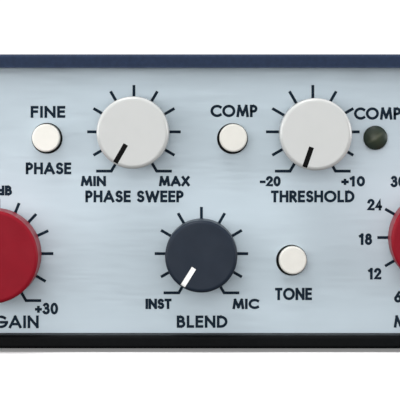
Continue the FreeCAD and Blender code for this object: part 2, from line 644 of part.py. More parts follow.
def push_button(node, x, y, z, turn):
    """A round cap moulded with its stem. Local zero is the panel's face."""
    owner = body(f"{node}_body")
    profile = sketch_on(owner, "XZ_Plane", f"{node}_profile")
    outline(profile, [
        ("0", size("button_reach")),
        (size("button_radius"), size("button_reach")),
        (size("button_radius"), "-Sizes.button_tail"),
        (size("stem_radius"), "-Sizes.button_tail"),
        (size("stem_radius"), "-Sizes.stem_end"),
        ("0", "-Sizes.stem_end"),
    ])
    cap = revolve(owner, profile)
    fillet(owner, cap, size("cap_round"), lambda e: near(e.BoundBox.ZMin, size("button_reach")))
    keep(node, place(owner, x, y, z, turn))


def switch_template():
    """The body of a push switch, from its face to the board it is soldered to, with a bore for the stem."""
    face, board = "-Sizes.switch_face", "-Sizes.control_board_setback"
    block = box("switch_block", size("switch_size"), size("switch_size"), f"{face} - ({board})", z=board,
                centre="xy")
    collar = rod("switch_collar", size("switch_collar_radius"), face, f"{face} + 0.3")
    bore = rod("switch_bore", "Sizes.stem_radius + 0.12", "-Sizes.switch_bore_end", "0")
    return cut("switch_body_template", fuse("switch_blank", block, collar), bore)


def push_buttons():
    places = [(x, FACE_Y, z, OUT_FRONT) for x, z in BUTTONS.values()]
    for name, (x, y, z, turn) in zip(BUTTONS, places):
        push_button(f"{name}_button", x, y, z, turn)
    ground_lift = (size("ground_lift_x"), BACK_Y, height("ground_lift_row"), OUT_REAR)
    push_button("ground_lift_button", *ground_lift)
    group("switch_bodies", switch_template(), [*places, ground_lift])


def lamp(name, radius):
    """A domed light-emitting diode with its rim behind the panel and two leads to the control board."""
    base = "-Sizes.panel_thickness - 1.2"
    rim = rod(f"{name}_rim", f"{radius} + Sizes.led_rim", base, "-Sizes.panel_thickness - 0.1")
    barrel = rod(f"{name}_barrel", radius, base, "Sizes.led_reach - 0.9")
    dome = doc.addObject("Part::Sphere", f"{name}_dome")
    bind(dome, Radius=f"({radius}) * 1.8")
    place(dome, z=f"Sizes.led_reach - ({radius}) * 1.8")
    nose = rod(f"{name}_nose", radius, base, size("led_reach"))
    tip = doc.addObject("Part::MultiCommon", f"{name}_tip")
    tip.Shapes = [nose, dome]
    leads = [rod(f"{name}_lead_{n}", "0.25", "-Sizes.control_board_setback", f"{base} + 0.5",
                 x=f"{side} * 1.27 / 2") for n, side in enumerate((-1, 1))]
    return fuse(f"{name}_template", rim, barrel, tip, *leads)


def lamps():
    large, small = lamp("large_lamp", size("led_radius")), lamp("small_lamp", size("small_led_radius"))
    row = height("button_row_high")
    group("comp_led", large, [(size("comp_led_x"), FACE_Y, row, OUT_FRONT)])
    group("power_led", small, [(size("power_led_x"), FACE_Y, row, OUT_FRONT)])
    group("meter_leds", small, [(size("meter_x"), FACE_Y, z, OUT_FRONT) for z in METER_ZS])


# ---------------------------------------------------------------- boards and what they carry

def control_board():
    board = box("control_board_plate", f"2 * {MAIN_BOARD_X}", size("board_thickness"),
                size("control_board_height"), y=CONTROL_BOARD_Y, z=f"{FLOOR_Z} + Sizes.control_board_rise",
                centre="x")
    keep("control_board", board)


def main_board():
    owner = body("main_board_body")
    plate = sketch_on(owner, "XY_Plane", "main_board_plate")
    rectangle(plate, f"-{MAIN_BOARD_X}", MAIN_BOARD_FRONT, MAIN_BOARD_X, MAIN_BOARD_BACK)
    pad(owner, plate, size("board_thickness"))
    drilled = sketch_on(owner, "XY_Plane", "main_board_holes")
    for x, y in STANDOFF_PLACES:
        circle(drilled, x, y, size("screw_hole_radius"))
    doc.recompute()
    pocket_through(owner, drilled)
    keep("main_board", place(owner, z=f"{FLOOR_Z} + Sizes.standoff_height"))
    post = rod("post_blank", size("standoff_radius"), "0", size("standoff_height"), sides=6)
    hollow = cut("post_template", post, rod("post_bore", "Sizes.screw_radius + 0.05", "-1", "20"))
    group("board_standoffs", hollow, upright((x, y, FLOOR_Z) for x, y in STANDOFF_PLACES))
    head = rod("board_screw_head", size("screw_head_radius"), "0", "1.8")
    shank = rod("board_screw_shank", size("screw_radius"), "-6.5", "0")
    socket = rod("board_screw_socket", "Sizes.screw_socket_flats / 2", "0.8", "3", sides=6)
    screw = cut("board_screw_template", fuse("board_screw_blank", head, shank), socket)
    group("board_screws", screw, upright((x, y, BOARD_TOP_Z) for x, y in STANDOFF_PLACES))


def input_transformer():
    """A screened can with rounded corners, standing on the main board."""
    owner = body("input_transformer_body")
    plan = sketch_on(owner, "XY_Plane", "input_transformer_plan")
    half = "Sizes.can_width / 2"
    rectangle(plan, f"-{half}", f"-{half}", half, half)
    can = pad(owner, plan, size("can_height"))
    corners = fillet(owner, can, size("can_corner"), lambda e: runs_along(e, 2))
    fillet(owner, corners, size("can_top_round"), lambda e: near(e.BoundBox.ZMin, size("can_height")))
    keep("mic_input_transformer", place(owner, "-60", f"{MAIN_BOARD_FRONT} + 34", BOARD_TOP_Z))


def output_transformer():
    """A laminated core with two windows, and a winding round its middle leg."""
    window, tall = size("core_window"), "Sizes.core_height - 2 * Sizes.core_window"
    core = box("output_core", size("core_length"), size("core_depth"), size("core_height"), centre="xy")
    windows = [box(f"output_window_{n}", window, "Sizes.core_depth + 4", tall, x=f"{side} * 1.5 * {window}",
                   z=window, centre="xy") for n, side in enumerate((-1, 1))]
    winding = box("output_winding", f"4 * {window}", size("winding_depth"), f"{tall} - 0.6",
                  z=f"{window} + 0.3", centre="xy")
    whole = fuse("output_transformer_solid", cut("output_core_cut", core, *windows), winding)
    keep("output_transformer", place(whole, "58", f"{MAIN_BOARD_FRONT} + 36", BOARD_TOP_Z))


def capacitors():
    """Two rows of electrolytic capacitors of one size, each with a crimp groove near its base."""
    owner = body("capacitor_template")
    profile = sketch_on(owner, "XZ_Plane", "capacitor_profile")
    radius, top, groove = (size(f"capacitor_{name}") for name in ("radius", "height", "groove"))
    waist = f"{radius} - {groove}"
    outline(profile, [
        ("0", "0"),
        (radius, "0"),
        (radius, f"4 * {groove}"),
        (waist, f"5.5 * {groove}"),
        (radius, f"7 * {groove}"),
        (radius, f"{top} - {groove}"),
        (waist, top),
        ("0", top),
    ])
    revolve(owner, profile)
    spots = [(f"-28 + {column} * Sizes.capacitor_pitch_x",
              f"{MAIN_BOARD_FRONT} + 24 + {row} * Sizes.capacitor_pitch_y", BOARD_TOP_Z)
             for row in range(2) for column in range(6)]
    group("electrolytic_capacitors", owner, upright(spots))


def heat_sink():
    """A finned extrusion for the voltage regulators, standing on the main board."""
    fin_count = 8
    tall = size("fin_height")
    first = f"-{fin_count - 1} / 2 * Sizes.fin_pitch"
    fins = [box(f"fin_{n}", size("fin_thickness"), size("fin_depth"), tall,
                x=f"{first} + {n} * Sizes.fin_pitch", y="Sizes.sink_plate - 0.1", centre="x")
            for n in range(fin_count)]
    plate = box("fin_plate", f"{fin_count} * Sizes.fin_pitch - 2", size("sink_plate"), tall, centre="x")
    tabs, leads = [], []
    for side in (-1, 1):
        middle = f"{side} * Sizes.regulator_spacing / 2"
        tabs.append(box(f"regulator_{side + 1}", size("regulator_width"), size("regulator_depth"),
                        size("regulator_height"), x=middle, y="-Sizes.regulator_depth",
                        z=size("regulator_rise"), centre="x"))
        for step in (-1, 0, 1):
            leads.append(box(f"regulator_lead_{side + 1}_{step + 1}", size("regulator_lead"), "0.6",
                             "Sizes.regulator_rise + 1", x=f"{middle} + {step} * Sizes.regulator_lead_pitch",
                             y="-Sizes.regulator_depth / 2 - 0.3", centre="x"))
    whole = fuse("heat_sink_solid", plate, *fins, *tabs, *leads)
    keep("heat_sink", place(whole, "20", f"{MAIN_BOARD_FRONT} + 62", BOARD_TOP_Z))


def ribbon_cable():
    """The flat cable between the two boards, with a header at each end."""
    board_back = f"{CONTROL_BOARD_Y} + Sizes.board_thickness"
    wide, deep, tall = size("header_width"), size("header_depth"), size("header_height")
    thickness = size("ribbon_thickness")
    upper = box("ribbon_header_up", wide, deep, tall, y=board_back, z=f"{BOARD_TOP_Z} + Sizes.ribbon_rise",
                centre="x")
    lower = box("ribbon_header_down", wide, tall, deep, y=f"{board_back} + Sizes.ribbon_run", z=BOARD_TOP_Z,
                centre="x")
    flat = box("ribbon_flat", size("ribbon_width"), "Sizes.ribbon_run + 1", thickness,
               y=f"{board_back} + Sizes.header_depth - 1", z=f"{BOARD_TOP_Z} + Sizes.ribbon_rise + 3",
               centre="x")
    drop = box("ribbon_drop", size("ribbon_width"), thickness, "Sizes.ribbon_rise - 1",
               y=f"{board_back} + Sizes.ribbon_run + Sizes.header_depth - {thickness}",
               z=f"{BOARD_TOP_Z} + Sizes.header_depth - 1", centre="x")
    whole = fuse("ribbon_cable_solid", upper, lower, flat, drop)
    keep("ribbon_cable", place(whole, size("ribbon_x")))


# ---------------------------------------------------------------- rear connectors

def connector_shell(name, well):
    """The flange and barrel that both round connectors share, local Z out of the rear panel."""
    flange = body(f"{name}_flange")
    outside = sketch_on(flange, "XY_Plane", f"{name}_flange_outline")
    rectangle(outside, "-Sizes.flange_width / 2", "-Sizes.flange_height / 2",
              "Sizes.flange_width / 2", "Sizes.flange_height / 2")
    plate = pad(flange, outside, size("flange_thickness"))
    fillet(flange, plate, size("flange_corner"), lambda e: runs_along(e, 2))
    barrel = rod(f"{name}_barrel", size("barrel_radius"), "-Sizes.barrel_depth", "0.5")
    drop = f"({height('connector_row')} - {BOARD_TOP_Z})"
    legs = [box(f"{name}_leg_{n}", "3", drop, "3", x=f"{side} * 5", y=f"-{drop}",
                z=f"-Sizes.barrel_depth + {2 + 5 * n}", centre="x") for n, side in enumerate((-1, 1))]
    blank = fuse(f"{name}_blank", flange, barrel, *legs)
    hollow = rod(f"{name}_well", well, "-Sizes.well_depth", "5")
    holes = [rod(f"{name}_hole_{n}", size("screw_hole_radius"), "-1", "5",
                 x=f"{-side} * Sizes.flange_screw_x", y=f"{side} * Sizes.flange_screw_y")
             for n, side in enumerate((-1, 1))]
    return blank, hollow, holes


def pin_places():
    """The three contacts of a round connector, one at the foot of the circle."""
    return [(f"Sizes.pin_circle * {math.cos(math.radians(a)):.6f}",
             f"Sizes.pin_circle * {math.sin(math.radians(a)):.6f}") for a in (30, 150, 270)]


def mic_input():
    """The microphone socket: a shell with a well, the insert that stands in it, and a push latch above."""
    spot = (size("mic_input_x"), BACK_Y, height("connector_row"), OUT_REAR)
    blank, hollow, holes = connector_shell("mic_input", size("input_well_radius"))
    slot = box("latch_slot", "Sizes.latch_width + 2 * Sizes.latch_gap",
               "Sizes.latch_high + Sizes.latch_gap - Sizes.latch_slot_low", "Sizes.latch_slot_depth + 5",
               y=size("latch_slot_low"), z="-Sizes.latch_slot_depth", centre="x")
    keep("mic_input_socket", place(cut("mic_input_shell", blank, hollow, slot, *holes), *spot))
    core = rod("mic_insert_core", size("insert_radius"), "-Sizes.well_depth", "0.4")
    contacts = [rod(f"mic_contact_{n}", size("contact_radius"), "-Sizes.contact_depth", "5", x=x, y=y)
                for n, (x, y) in enumerate(pin_places())]
    keep("mic_input_insert", place(cut("mic_insert_solid", core, *contacts), *spot))
    tab = box("latch_tab", size("latch_width"), "Sizes.latch_high - Sizes.latch_low", size("latch_length"),
              y=size("latch_low"), z="Sizes.latch_reach - Sizes.latch_length", centre="x")
    group("mic_input_latch", tab, [spot])


def line_output():
    """The output connector: an open well with three pins standing in it."""
    blank, hollow, holes = connector_shell("line_output", size("output_well_radius"))
    pin_holes = [rod(f"line_pin_hole_{n}", "Sizes.pin_radius + 0.02", "-Sizes.barrel_depth - 1", "0", x, y)
                 for n, (x, y) in enumerate(pin_places())]
    shell = cut("line_output_solid", blank, hollow, *holes, *pin_holes)
    row = height("connector_row")
    keep("line_output_connector", place(shell, size("line_output_x"), BACK_Y, row, OUT_REAR))
    owner = body("pin_template")
    profile = sketch_on(owner, "XZ_Plane", "pin_profile")
    radius, tail, tip = size("pin_radius"), "-Sizes.barrel_depth - 2", "-Sizes.pin_end"
    bevel = (radius, f"{tip} - 0.8")
    outline(profile, [("0", tail), (radius, tail), bevel, (f"{radius} / 2", tip), ("0", tip)])
    revolve(owner, profile)
    spots = [(f"Sizes.line_output_x - ({x})", BACK_Y, f"{row} + {y}", OUT_REAR) for x, y in pin_places()]
    group("line_output_pins", owner, spots)


def phone_jack(node, x):
    """A quarter-inch jack: a moulded body on the main board and a threaded bushing through the rear panel."""
    row, wide = height("jack_row"), size("jack_body_width")
    block = box(f"{node}_block", wide, f"{row} + {wide} / 2 - {BOARD_TOP_Z}", "Sizes.jack_body_depth - 2",
                y=f"{BOARD_TOP_Z} - {row}", z="-Sizes.jack_body_depth", centre="x")
    bushing = rod(f"{node}_bushing", size("jack_bush_radius"), "-3", size("jack_bush_reach"))
    bore = rod(f"{node}_bore", size("jack_bore_radius"), "-Sizes.jack_bore_end", "Sizes.jack_bush_reach + 1")
    whole = cut(f"{node}_solid", fuse(f"{node}_blank", block, bushing), bore)
    keep(node, place(whole, x, BACK_Y, row, OUT_REAR))


def jacks():
    phone_jack("thru_jack", size("thru_jack_x"))
    phone_jack("instrument_jack", size("inst_jack_x"))
    blank = rod("jack_nut_blank", "Sizes.jack_nut_flats / 2", "0", "2.2", sides=6)
    nut = cut("jack_nut_template", blank, rod("jack_nut_bore", "Sizes.jack_bush_radius + 0.02", "-1", "4"))
    spots = [(size(name), BACK_Y, height("jack_row"), OUT_REAR) for name in ("thru_jack_x", "inst_jack_x")]
    group("jack_nuts", nut, spots)


def connector_screws():
    head = cone("flange_screw_head", "Sizes.screw_head_radius - 0.1", size("screw_radius"), "0", "1.5")
    shank = rod("flange_screw_shank", size("screw_radius"), "-6", "0")
    slot = rod("flange_screw_socket", "0.9", "0.5", "3", sides=6)
    screw = cut("flange_screw_template", fuse("flange_screw_blank", head, shank), slot)
    spots = []
    for x in ("mic_input_x", "line_output_x"):
        for side in (-1, 1):
            spots.append((f"Sizes.{x} + {side} * Sizes.flange_screw_x", f"{BACK_Y} + Sizes.flange_thickness",
                          f"{height('connector_row')} + {side} * Sizes.flange_screw_y", OUT_REAR))
    group("connector_screws", screw, spots)


def dc_inlet():
    """The low-voltage supply inlet: a barrel socket, and the contact pin that stands in it."""
    spot = (size("dc_inlet_x"), BACK_Y, height("jack_row"), OUT_REAR)
    flange = rod("dc_flange", size("dc_flange_radius"), "0", "1.6")
    barrel = rod("dc_barrel", size("dc_barrel_radius"), "-Sizes.dc_barrel_depth", "0.5")
    bore = rod("dc_bore", size("dc_bore_radius"), "-Sizes.dc_bore_depth", "5")
    keep("dc_inlet", place(cut("dc_shell", fuse("dc_blank", flange, barrel), bore), *spot))
    keep("dc_inlet_pin", place(rod("dc_pin", size("dc_pin_radius"), "0", size("dc_bore_depth")),
                               size("dc_inlet_x"), f"{BACK_Y} - Sizes.dc_bore_depth", *spot[2:]))


def power_switch():
    """The rocker switch: a frame through the rear panel, and a rocker that tips on two stub pivots in it."""
    x, z = size("power_switch_x"), height("connector_row")
    wide, tall, rocker = size("rocker_frame_width"), size("rocker_frame_height"), size("rocker_width")
    depth, radius = size("rocker_pivot_depth"), size("rocker_pivot_radius")
    flange = box("rocker_flange", wide, tall, size("rocker_flange"), centre="xy")
    block = box("rocker_block", f"{wide} - 2", f"{tall} - 2", "Sizes.rocker_block_depth + 0.5",
                z="-Sizes.rocker_block_depth", centre="xy")
    well = box("rocker_well", f"{rocker} + 0.6", size("rocker_well_height"), "14", z="-11", centre="xy")
    pivot_hole = place(rod("rocker_pivot_hole", f"{radius} + 0.1", "0", f"{rocker} + 2"),
                       f"-{rocker} / 2 - 1", "0", f"-{depth}", OUT_RIGHT)
    frame = cut("rocker_frame_solid", fuse("rocker_frame_blank", flange, block), well, pivot_hole)
    keep("power_switch_frame", place(frame, x, BACK_Y, z, OUT_REAR))
    owner = body("rocker_body")
    profile = sketch_on(owner, "YZ_Plane", "rocker_profile")
    outline(profile, [("-6.4", "-1.6"), ("6.4", "-1.6"), ("6.9", "3.6"), ("0", "2.5"), ("-6.9", "3.6")])
    bar = owner.newObject("PartDesign::Pad", "rocker_pad")
    bar.Profile = profile
    bar.SideType = "Symmetric"
    bind(bar, Length=rocker)
    pivot = place(rod("rocker_pivot", radius, "0", f"{rocker} + 1.6"), f"-{rocker} / 2 - 0.8", "0", "0",
                  OUT_RIGHT)
    turn = OUT_REAR * Rotation(Vector(1, 0, 0), value("Sizes.rocker_tilt"))
    keep("power_rocker", place(fuse("rocker_solid", owner, pivot), x, f"{BACK_Y} - {depth}", z, turn))


# ---------------------------------------------------------------- build and write

top_cover()
bottom_tray()
side_rail("left_side_rail", -1)
side_rail("right_side_rail", 1)
feet()
group("panel_screws", SCREW, FRONT_SCREWS + REAR_SCREWS)
group("case_screws", SCREW, COVER_SCREWS + TRAY_SCREWS)
front_panel()
rear_panel()
for control in KNOBS:
    knob(control)
    shaft(control)
    potentiometer(control)
nuts_and_washers()
push_buttons()
lamps()
control_board()
main_board()
input_transformer()
output_transformer()
capacitors()
heat_sink()
ribbon_cable()
mic_input()
line_output()
jacks()
connector_screws()
dc_inlet()
power_switch()

doc.recompute()
failed = [thing.Label for thing in doc.Objects if {"Invalid", "Error"} & set(thing.State)]
failed += [node for node, thing in SUBPARTS.items() if thing.Shape.isNull() or not thing.Shape.isValid()]
if failed:
    raise RuntimeError(f"these objects did not build: {failed}")

os.makedirs("parts", exist_ok=True)
for old in os.listdir("parts"):
    os.remove(os.path.join("parts", old))
for node, thing in SUBPARTS.items():
    thing.Shape.exportStep(os.path.join("parts", f"{node}.step"))
print(f"{len(SUBPARTS)} sub-parts")
for node, thing in SUBPARTS.items():
    bounds = thing.Shape.BoundBox
    print(f"{node}: {len(thing.Shape.Solids)} solids, {thing.Shape.Volume:.1f} mm3, "
          f"x {bounds.XMin:.2f}..{bounds.XMax:.2f} y {bounds.YMin:.2f}..{bounds.YMax:.2f} "
          f"z {bounds.ZMin:.2f}..{bounds.ZMax:.2f}")
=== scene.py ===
"""The looks of the desktop microphone and instrument preamp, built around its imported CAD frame. Metres.

+Z is up, the front panel faces -Y and +X is the right-hand side as the front is seen. The casing, knobs, buttons
and connectors are the CAD nodes with procedural materials. Added here are the printed legends and scales, the
painted pointer lines, the screw threads, the floor, the lights and the camera.
"""
import json
import math

import bmesh
import bpy
from mathutils import Matrix, Vector


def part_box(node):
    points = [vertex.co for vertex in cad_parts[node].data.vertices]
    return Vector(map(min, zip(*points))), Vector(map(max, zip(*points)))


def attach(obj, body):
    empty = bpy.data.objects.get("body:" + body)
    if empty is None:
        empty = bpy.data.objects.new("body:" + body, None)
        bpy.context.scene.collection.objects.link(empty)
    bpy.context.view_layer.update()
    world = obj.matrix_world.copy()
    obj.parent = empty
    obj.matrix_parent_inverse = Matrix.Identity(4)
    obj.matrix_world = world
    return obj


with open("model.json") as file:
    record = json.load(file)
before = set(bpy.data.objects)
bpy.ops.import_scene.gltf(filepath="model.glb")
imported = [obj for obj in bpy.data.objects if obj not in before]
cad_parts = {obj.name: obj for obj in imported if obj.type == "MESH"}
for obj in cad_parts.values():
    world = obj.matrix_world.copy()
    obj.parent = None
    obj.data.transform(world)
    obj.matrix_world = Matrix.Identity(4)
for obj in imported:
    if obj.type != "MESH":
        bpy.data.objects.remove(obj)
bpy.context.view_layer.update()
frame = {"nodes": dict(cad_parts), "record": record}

# ---------------------------------------------------------------- sizes and places

MM = 0.001
FACE_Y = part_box("front_panel")[0].y
BACK_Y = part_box("rear_panel")[1].y
OUT_FRONT = Matrix.Rotation(math.radians(90), 4, "X")
OUT_REAR = Matrix.Rotation(math.radians(180), 4, "Z") @ OUT_FRONT

INK_THICKNESS = 0.03 * MM
INK_SINK = 0.02 * MM
# strokes that cross are printed at slightly different heights, taken in turn
INK_STEP = 0.002 * MM
INK_STEPS = 4
TICK_WIDTH = 0.6 * MM
LETTER_WEIGHT = 0.57 * MM

# the knobs' own rounded front edge and slight taper, as in their solids
KNOB_ROUND = 0.75 * MM
KNOB_FLARE = 0.05 * MM
POINTER_WIDTH = 1.05 * MM
POINTER_INNER = 2.8 * MM
POINTER_RIM = 0.3 * MM
POINTER_DEPTH = 0.35 * MM
POINTER_SECTIONS = 14
PAINT_GAP = 0.03 * MM
PAINT_MIN = 0.001 * MM
# where each pointer stands at rest, in degrees clockwise from the top
POINTER_AT_REST = {"inst_gain": -150, "phase_sweep": -150, "blend": -148, "threshold": -161, "mic_gain": -180}
WHITE_KNOBS = ("phase_sweep", "threshold")


def middle(node):
    """The middle of a CAD node's box at rest."""
    low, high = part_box(node)
    return (low + high) / 2


# ---------------------------------------------------------------- materials

def new_material(name, colour, roughness, metallic=0.0, **sockets):
    """A material with a Principled shader; further inputs are given by name, with _ for a space."""
    made = bpy.data.materials.new(name)
    made.use_nodes = True
    shader = made.node_tree.nodes["Principled BSDF"]
    shader.inputs["Base Color"].default_value = (*colour, 1)
    shader.inputs["Roughness"].default_value = roughness
    shader.inputs["Metallic"].default_value = metallic
    for socket, number in sockets.items():
        shader.inputs[socket.replace("_", " ")].default_value = number
    return made


def shader_of(material):
    """The Principled shader of a material."""
    return material.node_tree.nodes["Principled BSDF"]


def add_node(material, kind, links=None, **settings):
    """A node with its properties set and its inputs given as numbers or other nodes' outputs."""
    node = material.node_tree.nodes.new(kind)
    for name, setting in settings.items():
        setattr(node, name, setting)
    for name, source in (links or {}).items():
        if isinstance(source, bpy.types.NodeSocket):
            material.node_tree.links.new(source, node.inputs[name])
        else:
            node.inputs[name].default_value = source
    return node


def place_coordinates(material, stretch=(1, 1, 1)):
    """The place on the object, in metres; a factor below 1 draws the pattern out along its axis."""
    coordinates = add_node(material, "ShaderNodeTexCoord")
    mapping = add_node(material, "ShaderNodeMapping", {"Vector": coordinates.outputs["Object"], "Scale": stretch})
    return mapping.outputs["Vector"]


def noise(material, feature, detail, stretch=(1, 1, 1)):
    """A noise whose blotches are about one feature wide, from 0 to 1."""
    made = add_node(material, "ShaderNodeTexNoise", {
        "Vector": place_coordinates(material, stretch), "Scale": 1 / feature, "Detail": detail})
    return made.outputs["Fac"]


def spread(material, source, low, high, low_in=0.3, high_in=0.7):
    """A source stretched from one range to another."""
    made = add_node(material, "ShaderNodeMapRange", {
        "Value": source, "From Min": low_in, "From Max": high_in, "To Min": low, "To Max": high})
    return made.outputs["Result"]


# a Mix node repeats the names of its sockets for each type of value, so its colour sockets go by number
MIX_FACTOR, MIX_FIRST, MIX_SECOND, MIX_RESULT = 0, 6, 7, 2


def mix_colours(material, factor, first, second):
    """A blend from the first colour to the second, each a fixed colour or another node's output."""
    inputs = {MIX_FACTOR: factor}
    for socket, colour in ((MIX_FIRST, first), (MIX_SECOND, second)):
        inputs[socket] = colour if isinstance(colour, bpy.types.NodeSocket) else (*colour, 1)
    return add_node(material, "ShaderNodeMix", inputs, data_type="RGBA").outputs[MIX_RESULT]


def vector_math(material, operation, *inputs):
    """A Vector Math node whose inputs are fixed vectors or other nodes' outputs."""
    return add_node(material, "ShaderNodeVectorMath", dict(enumerate(inputs)), operation=operation)


def set_input(material, name, source):
    """Feeds an input of the material's shader from another node's output."""
    material.node_tree.links.new(source, shader_of(material).inputs[name])


def shade(colour, factor):
    """The colour made lighter or darker by a factor."""
    return tuple(min(1.0, channel * factor) for channel in colour)


def vary_colour(material, colour, feature, amount, detail=3.0):
    """Uneven colour: patches a little darker and lighter than the colour given."""
    factor = spread(material, noise(material, feature, detail), low=0, high=1)
    uneven = mix_colours(material, factor, shade(colour, 1 - amount), shade(colour, 1 + amount))
    set_input(material, "Base Color", uneven)
    return uneven


def vary_roughness(material, low, high, feature, stretch=(1, 1, 1)):
    """Patches that are glossier and duller than each other."""
    blotches = noise(material, feature, detail=3.0, stretch=stretch)
    set_input(material, "Roughness", spread(material, blotches, low, high))


def add_bump(material, feature, depth, detail=2.0, stretch=(1, 1, 1)):
    """Fine relief of that feature width and depth."""
    bump = add_node(material, "ShaderNodeBump", {
        "Height": noise(material, feature, detail, stretch), "Strength": 1.0, "Distance": depth})
    set_input(material, "Normal", bump.outputs["Normal"])


def edge_wear_and_highlight(material, colour_source, worn_and_lit, radius, amount):
    """Lightens convex edges, as rubbed paint and a painted highlight, where the normal of a rounded copy of the
    surface leaves the surface's own.
    """
    rounded = add_node(material, "ShaderNodeBevel", {"Radius": radius}, samples=4)
    surface = add_node(material, "ShaderNodeNewGeometry")
    turned = vector_math(material, "DOT_PRODUCT", rounded.outputs["Normal"], surface.outputs["Normal"])
    # the lighter edge colour stands for rubbed paint and for a painted highlight along the edge
    edge_light_mask = spread(material, turned.outputs["Value"], low=amount, high=0, low_in=0.8, high_in=0.98)
    set_input(material, "Base Color", mix_colours(material, edge_light_mask, colour_source, worn_and_lit))


def powder_coat(name, colour, roughness, worn_and_lit, grain=0.45 * MM, relief=0.03 * MM, gloss=0.25):
    """Textured paint on sheet metal: fine orange peel, faint blotches, and edges lightened by rubbed paint and a
    painted highlight.
    """
    made = new_material(name, colour, roughness, Specular_IOR_Level=gloss)
    uneven = vary_colour(made, colour, feature=0.9 * MM, amount=0.16, detail=6.0)
    edge_wear_and_highlight(made, uneven, worn_and_lit, radius=0.5 * MM, amount=0.35)
    vary_roughness(made, roughness - 0.03, roughness + 0.04, feature=2.5 * MM)
    add_bump(made, grain, relief, detail=3.0)
    return made


def satin_panel(name, colour):
    """Satin anodised sheet: a metal sheen under a pale tint, with a faint sideways grain."""
    made = new_material(name, colour, roughness=0.42, metallic=0.25)
    vary_colour(made, colour, feature=14 * MM, amount=0.018)
    vary_roughness(made, low=0.38, high=0.48, feature=0.5 * MM, stretch=(0.08, 1, 1))
    add_bump(made, feature=0.25 * MM, depth=0.0015 * MM, detail=3.0, stretch=(0.12, 1, 1))
    return made


def moulded(name, colour, roughness, mottle, relief=0.006 * MM, grain=0.25 * MM, **sockets):
    """Moulded plastic: an eggshell surface, with faint flow marks and handling gloss."""
    made = new_material(name, colour, roughness, **sockets)
    vary_colour(made, colour, feature=3.5 * MM, amount=mottle)
    vary_roughness(made, roughness - 0.06, roughness + 0.07, feature=4 * MM)
    add_bump(made, grain, relief)
    return made


def metal(name, colour, roughness, stretch=(1, 1, 1), grain=0.12 * MM, relief=0.002 * MM):
    """Plated, turned or brushed metal; the stretch sets which way its grain runs."""
    made = new_material(name, colour, roughness, metallic=1.0)
    vary_colour(made, colour, feature=1.6 * MM, amount=0.08)
    vary_roughness(made, roughness - 0.08, roughness + 0.1, feature=0.6 * MM, stretch=stretch)
    add_bump(made, grain, relief, stretch=stretch)
    return made


def circuit_board(name):
    """Green solder mask over a pattern of lighter tracks."""
    made = new_material(name, (0.01, 0.09, 0.035), roughness=0.35, Coat_Weight=0.3)
    tracks = add_node(made, "ShaderNodeTexBrick", {
        "Vector": place_coordinates(made),
        "Scale": 90.0, "Mortar Size": 0.035, "Brick Width": 0.9, "Row Height": 0.22,
        "Color1": (0.008, 0.075, 0.03, 1), "Color2": (0.012, 0.1, 0.04, 1), "Mortar": (0.03, 0.19, 0.08, 1)})
    set_input(made, "Base Color", tracks.outputs["Color"])
    add_bump(made, feature=0.8 * MM, depth=0.01 * MM)
    return made


def lamp_lens(name, centre, rim, core, painted_glint):
    """A dark tinted lens, unlit: a paler core with a painted glint, a slanting streak of lighter colour where the
    metal cup inside would catch the light.
    """
    made = new_material(name, rim, roughness=0.3, Specular_IOR_Level=0.3)
    coordinates = add_node(made, "ShaderNodeTexCoord")
    local = vector_math(made, "SUBTRACT", coordinates.outputs["Object"], centre)
    across = vector_math(made, "MULTIPLY", local.outputs["Vector"], (1, 0, 1))
    radius = vector_math(made, "LENGTH", across.outputs["Vector"])
    inner = spread(made, radius.outputs["Value"], low=1, high=0, low_in=0.6 * MM, high_in=2.3 * MM)
    glow = mix_colours(made, inner, rim, core)
    # a painted glint: a slanting band of lighter colour across the core
    slant = vector_math(made, "DOT_PRODUCT", across.outputs["Vector"], (0.55, 0, -0.84))
    offset = add_node(made, "ShaderNodeMath", {0: slant.outputs["Value"]}, operation="ABSOLUTE")
    glint_band = spread(made, offset.outputs["Value"], low=0.55, high=0, low_in=0.05 * MM, high_in=0.5 * MM)
    fade = add_node(made, "ShaderNodeMath", {0: glint_band, 1: inner}, operation="MULTIPLY")
    set_input(made, "Base Color", mix_colours(made, fade.outputs["Value"], glow, painted_glint))
    add_bump(made, feature=0.7 * MM, depth=0.004 * MM)
    return made


PANEL_TINT = (0.505, 0.595, 0.655)
COVER_NAVY = (0.0145, 0.0265, 0.058)
TRAY_BLACK = (0.003, 0.0035, 0.004)
INK_NAVY = (0.008, 0.019, 0.034)

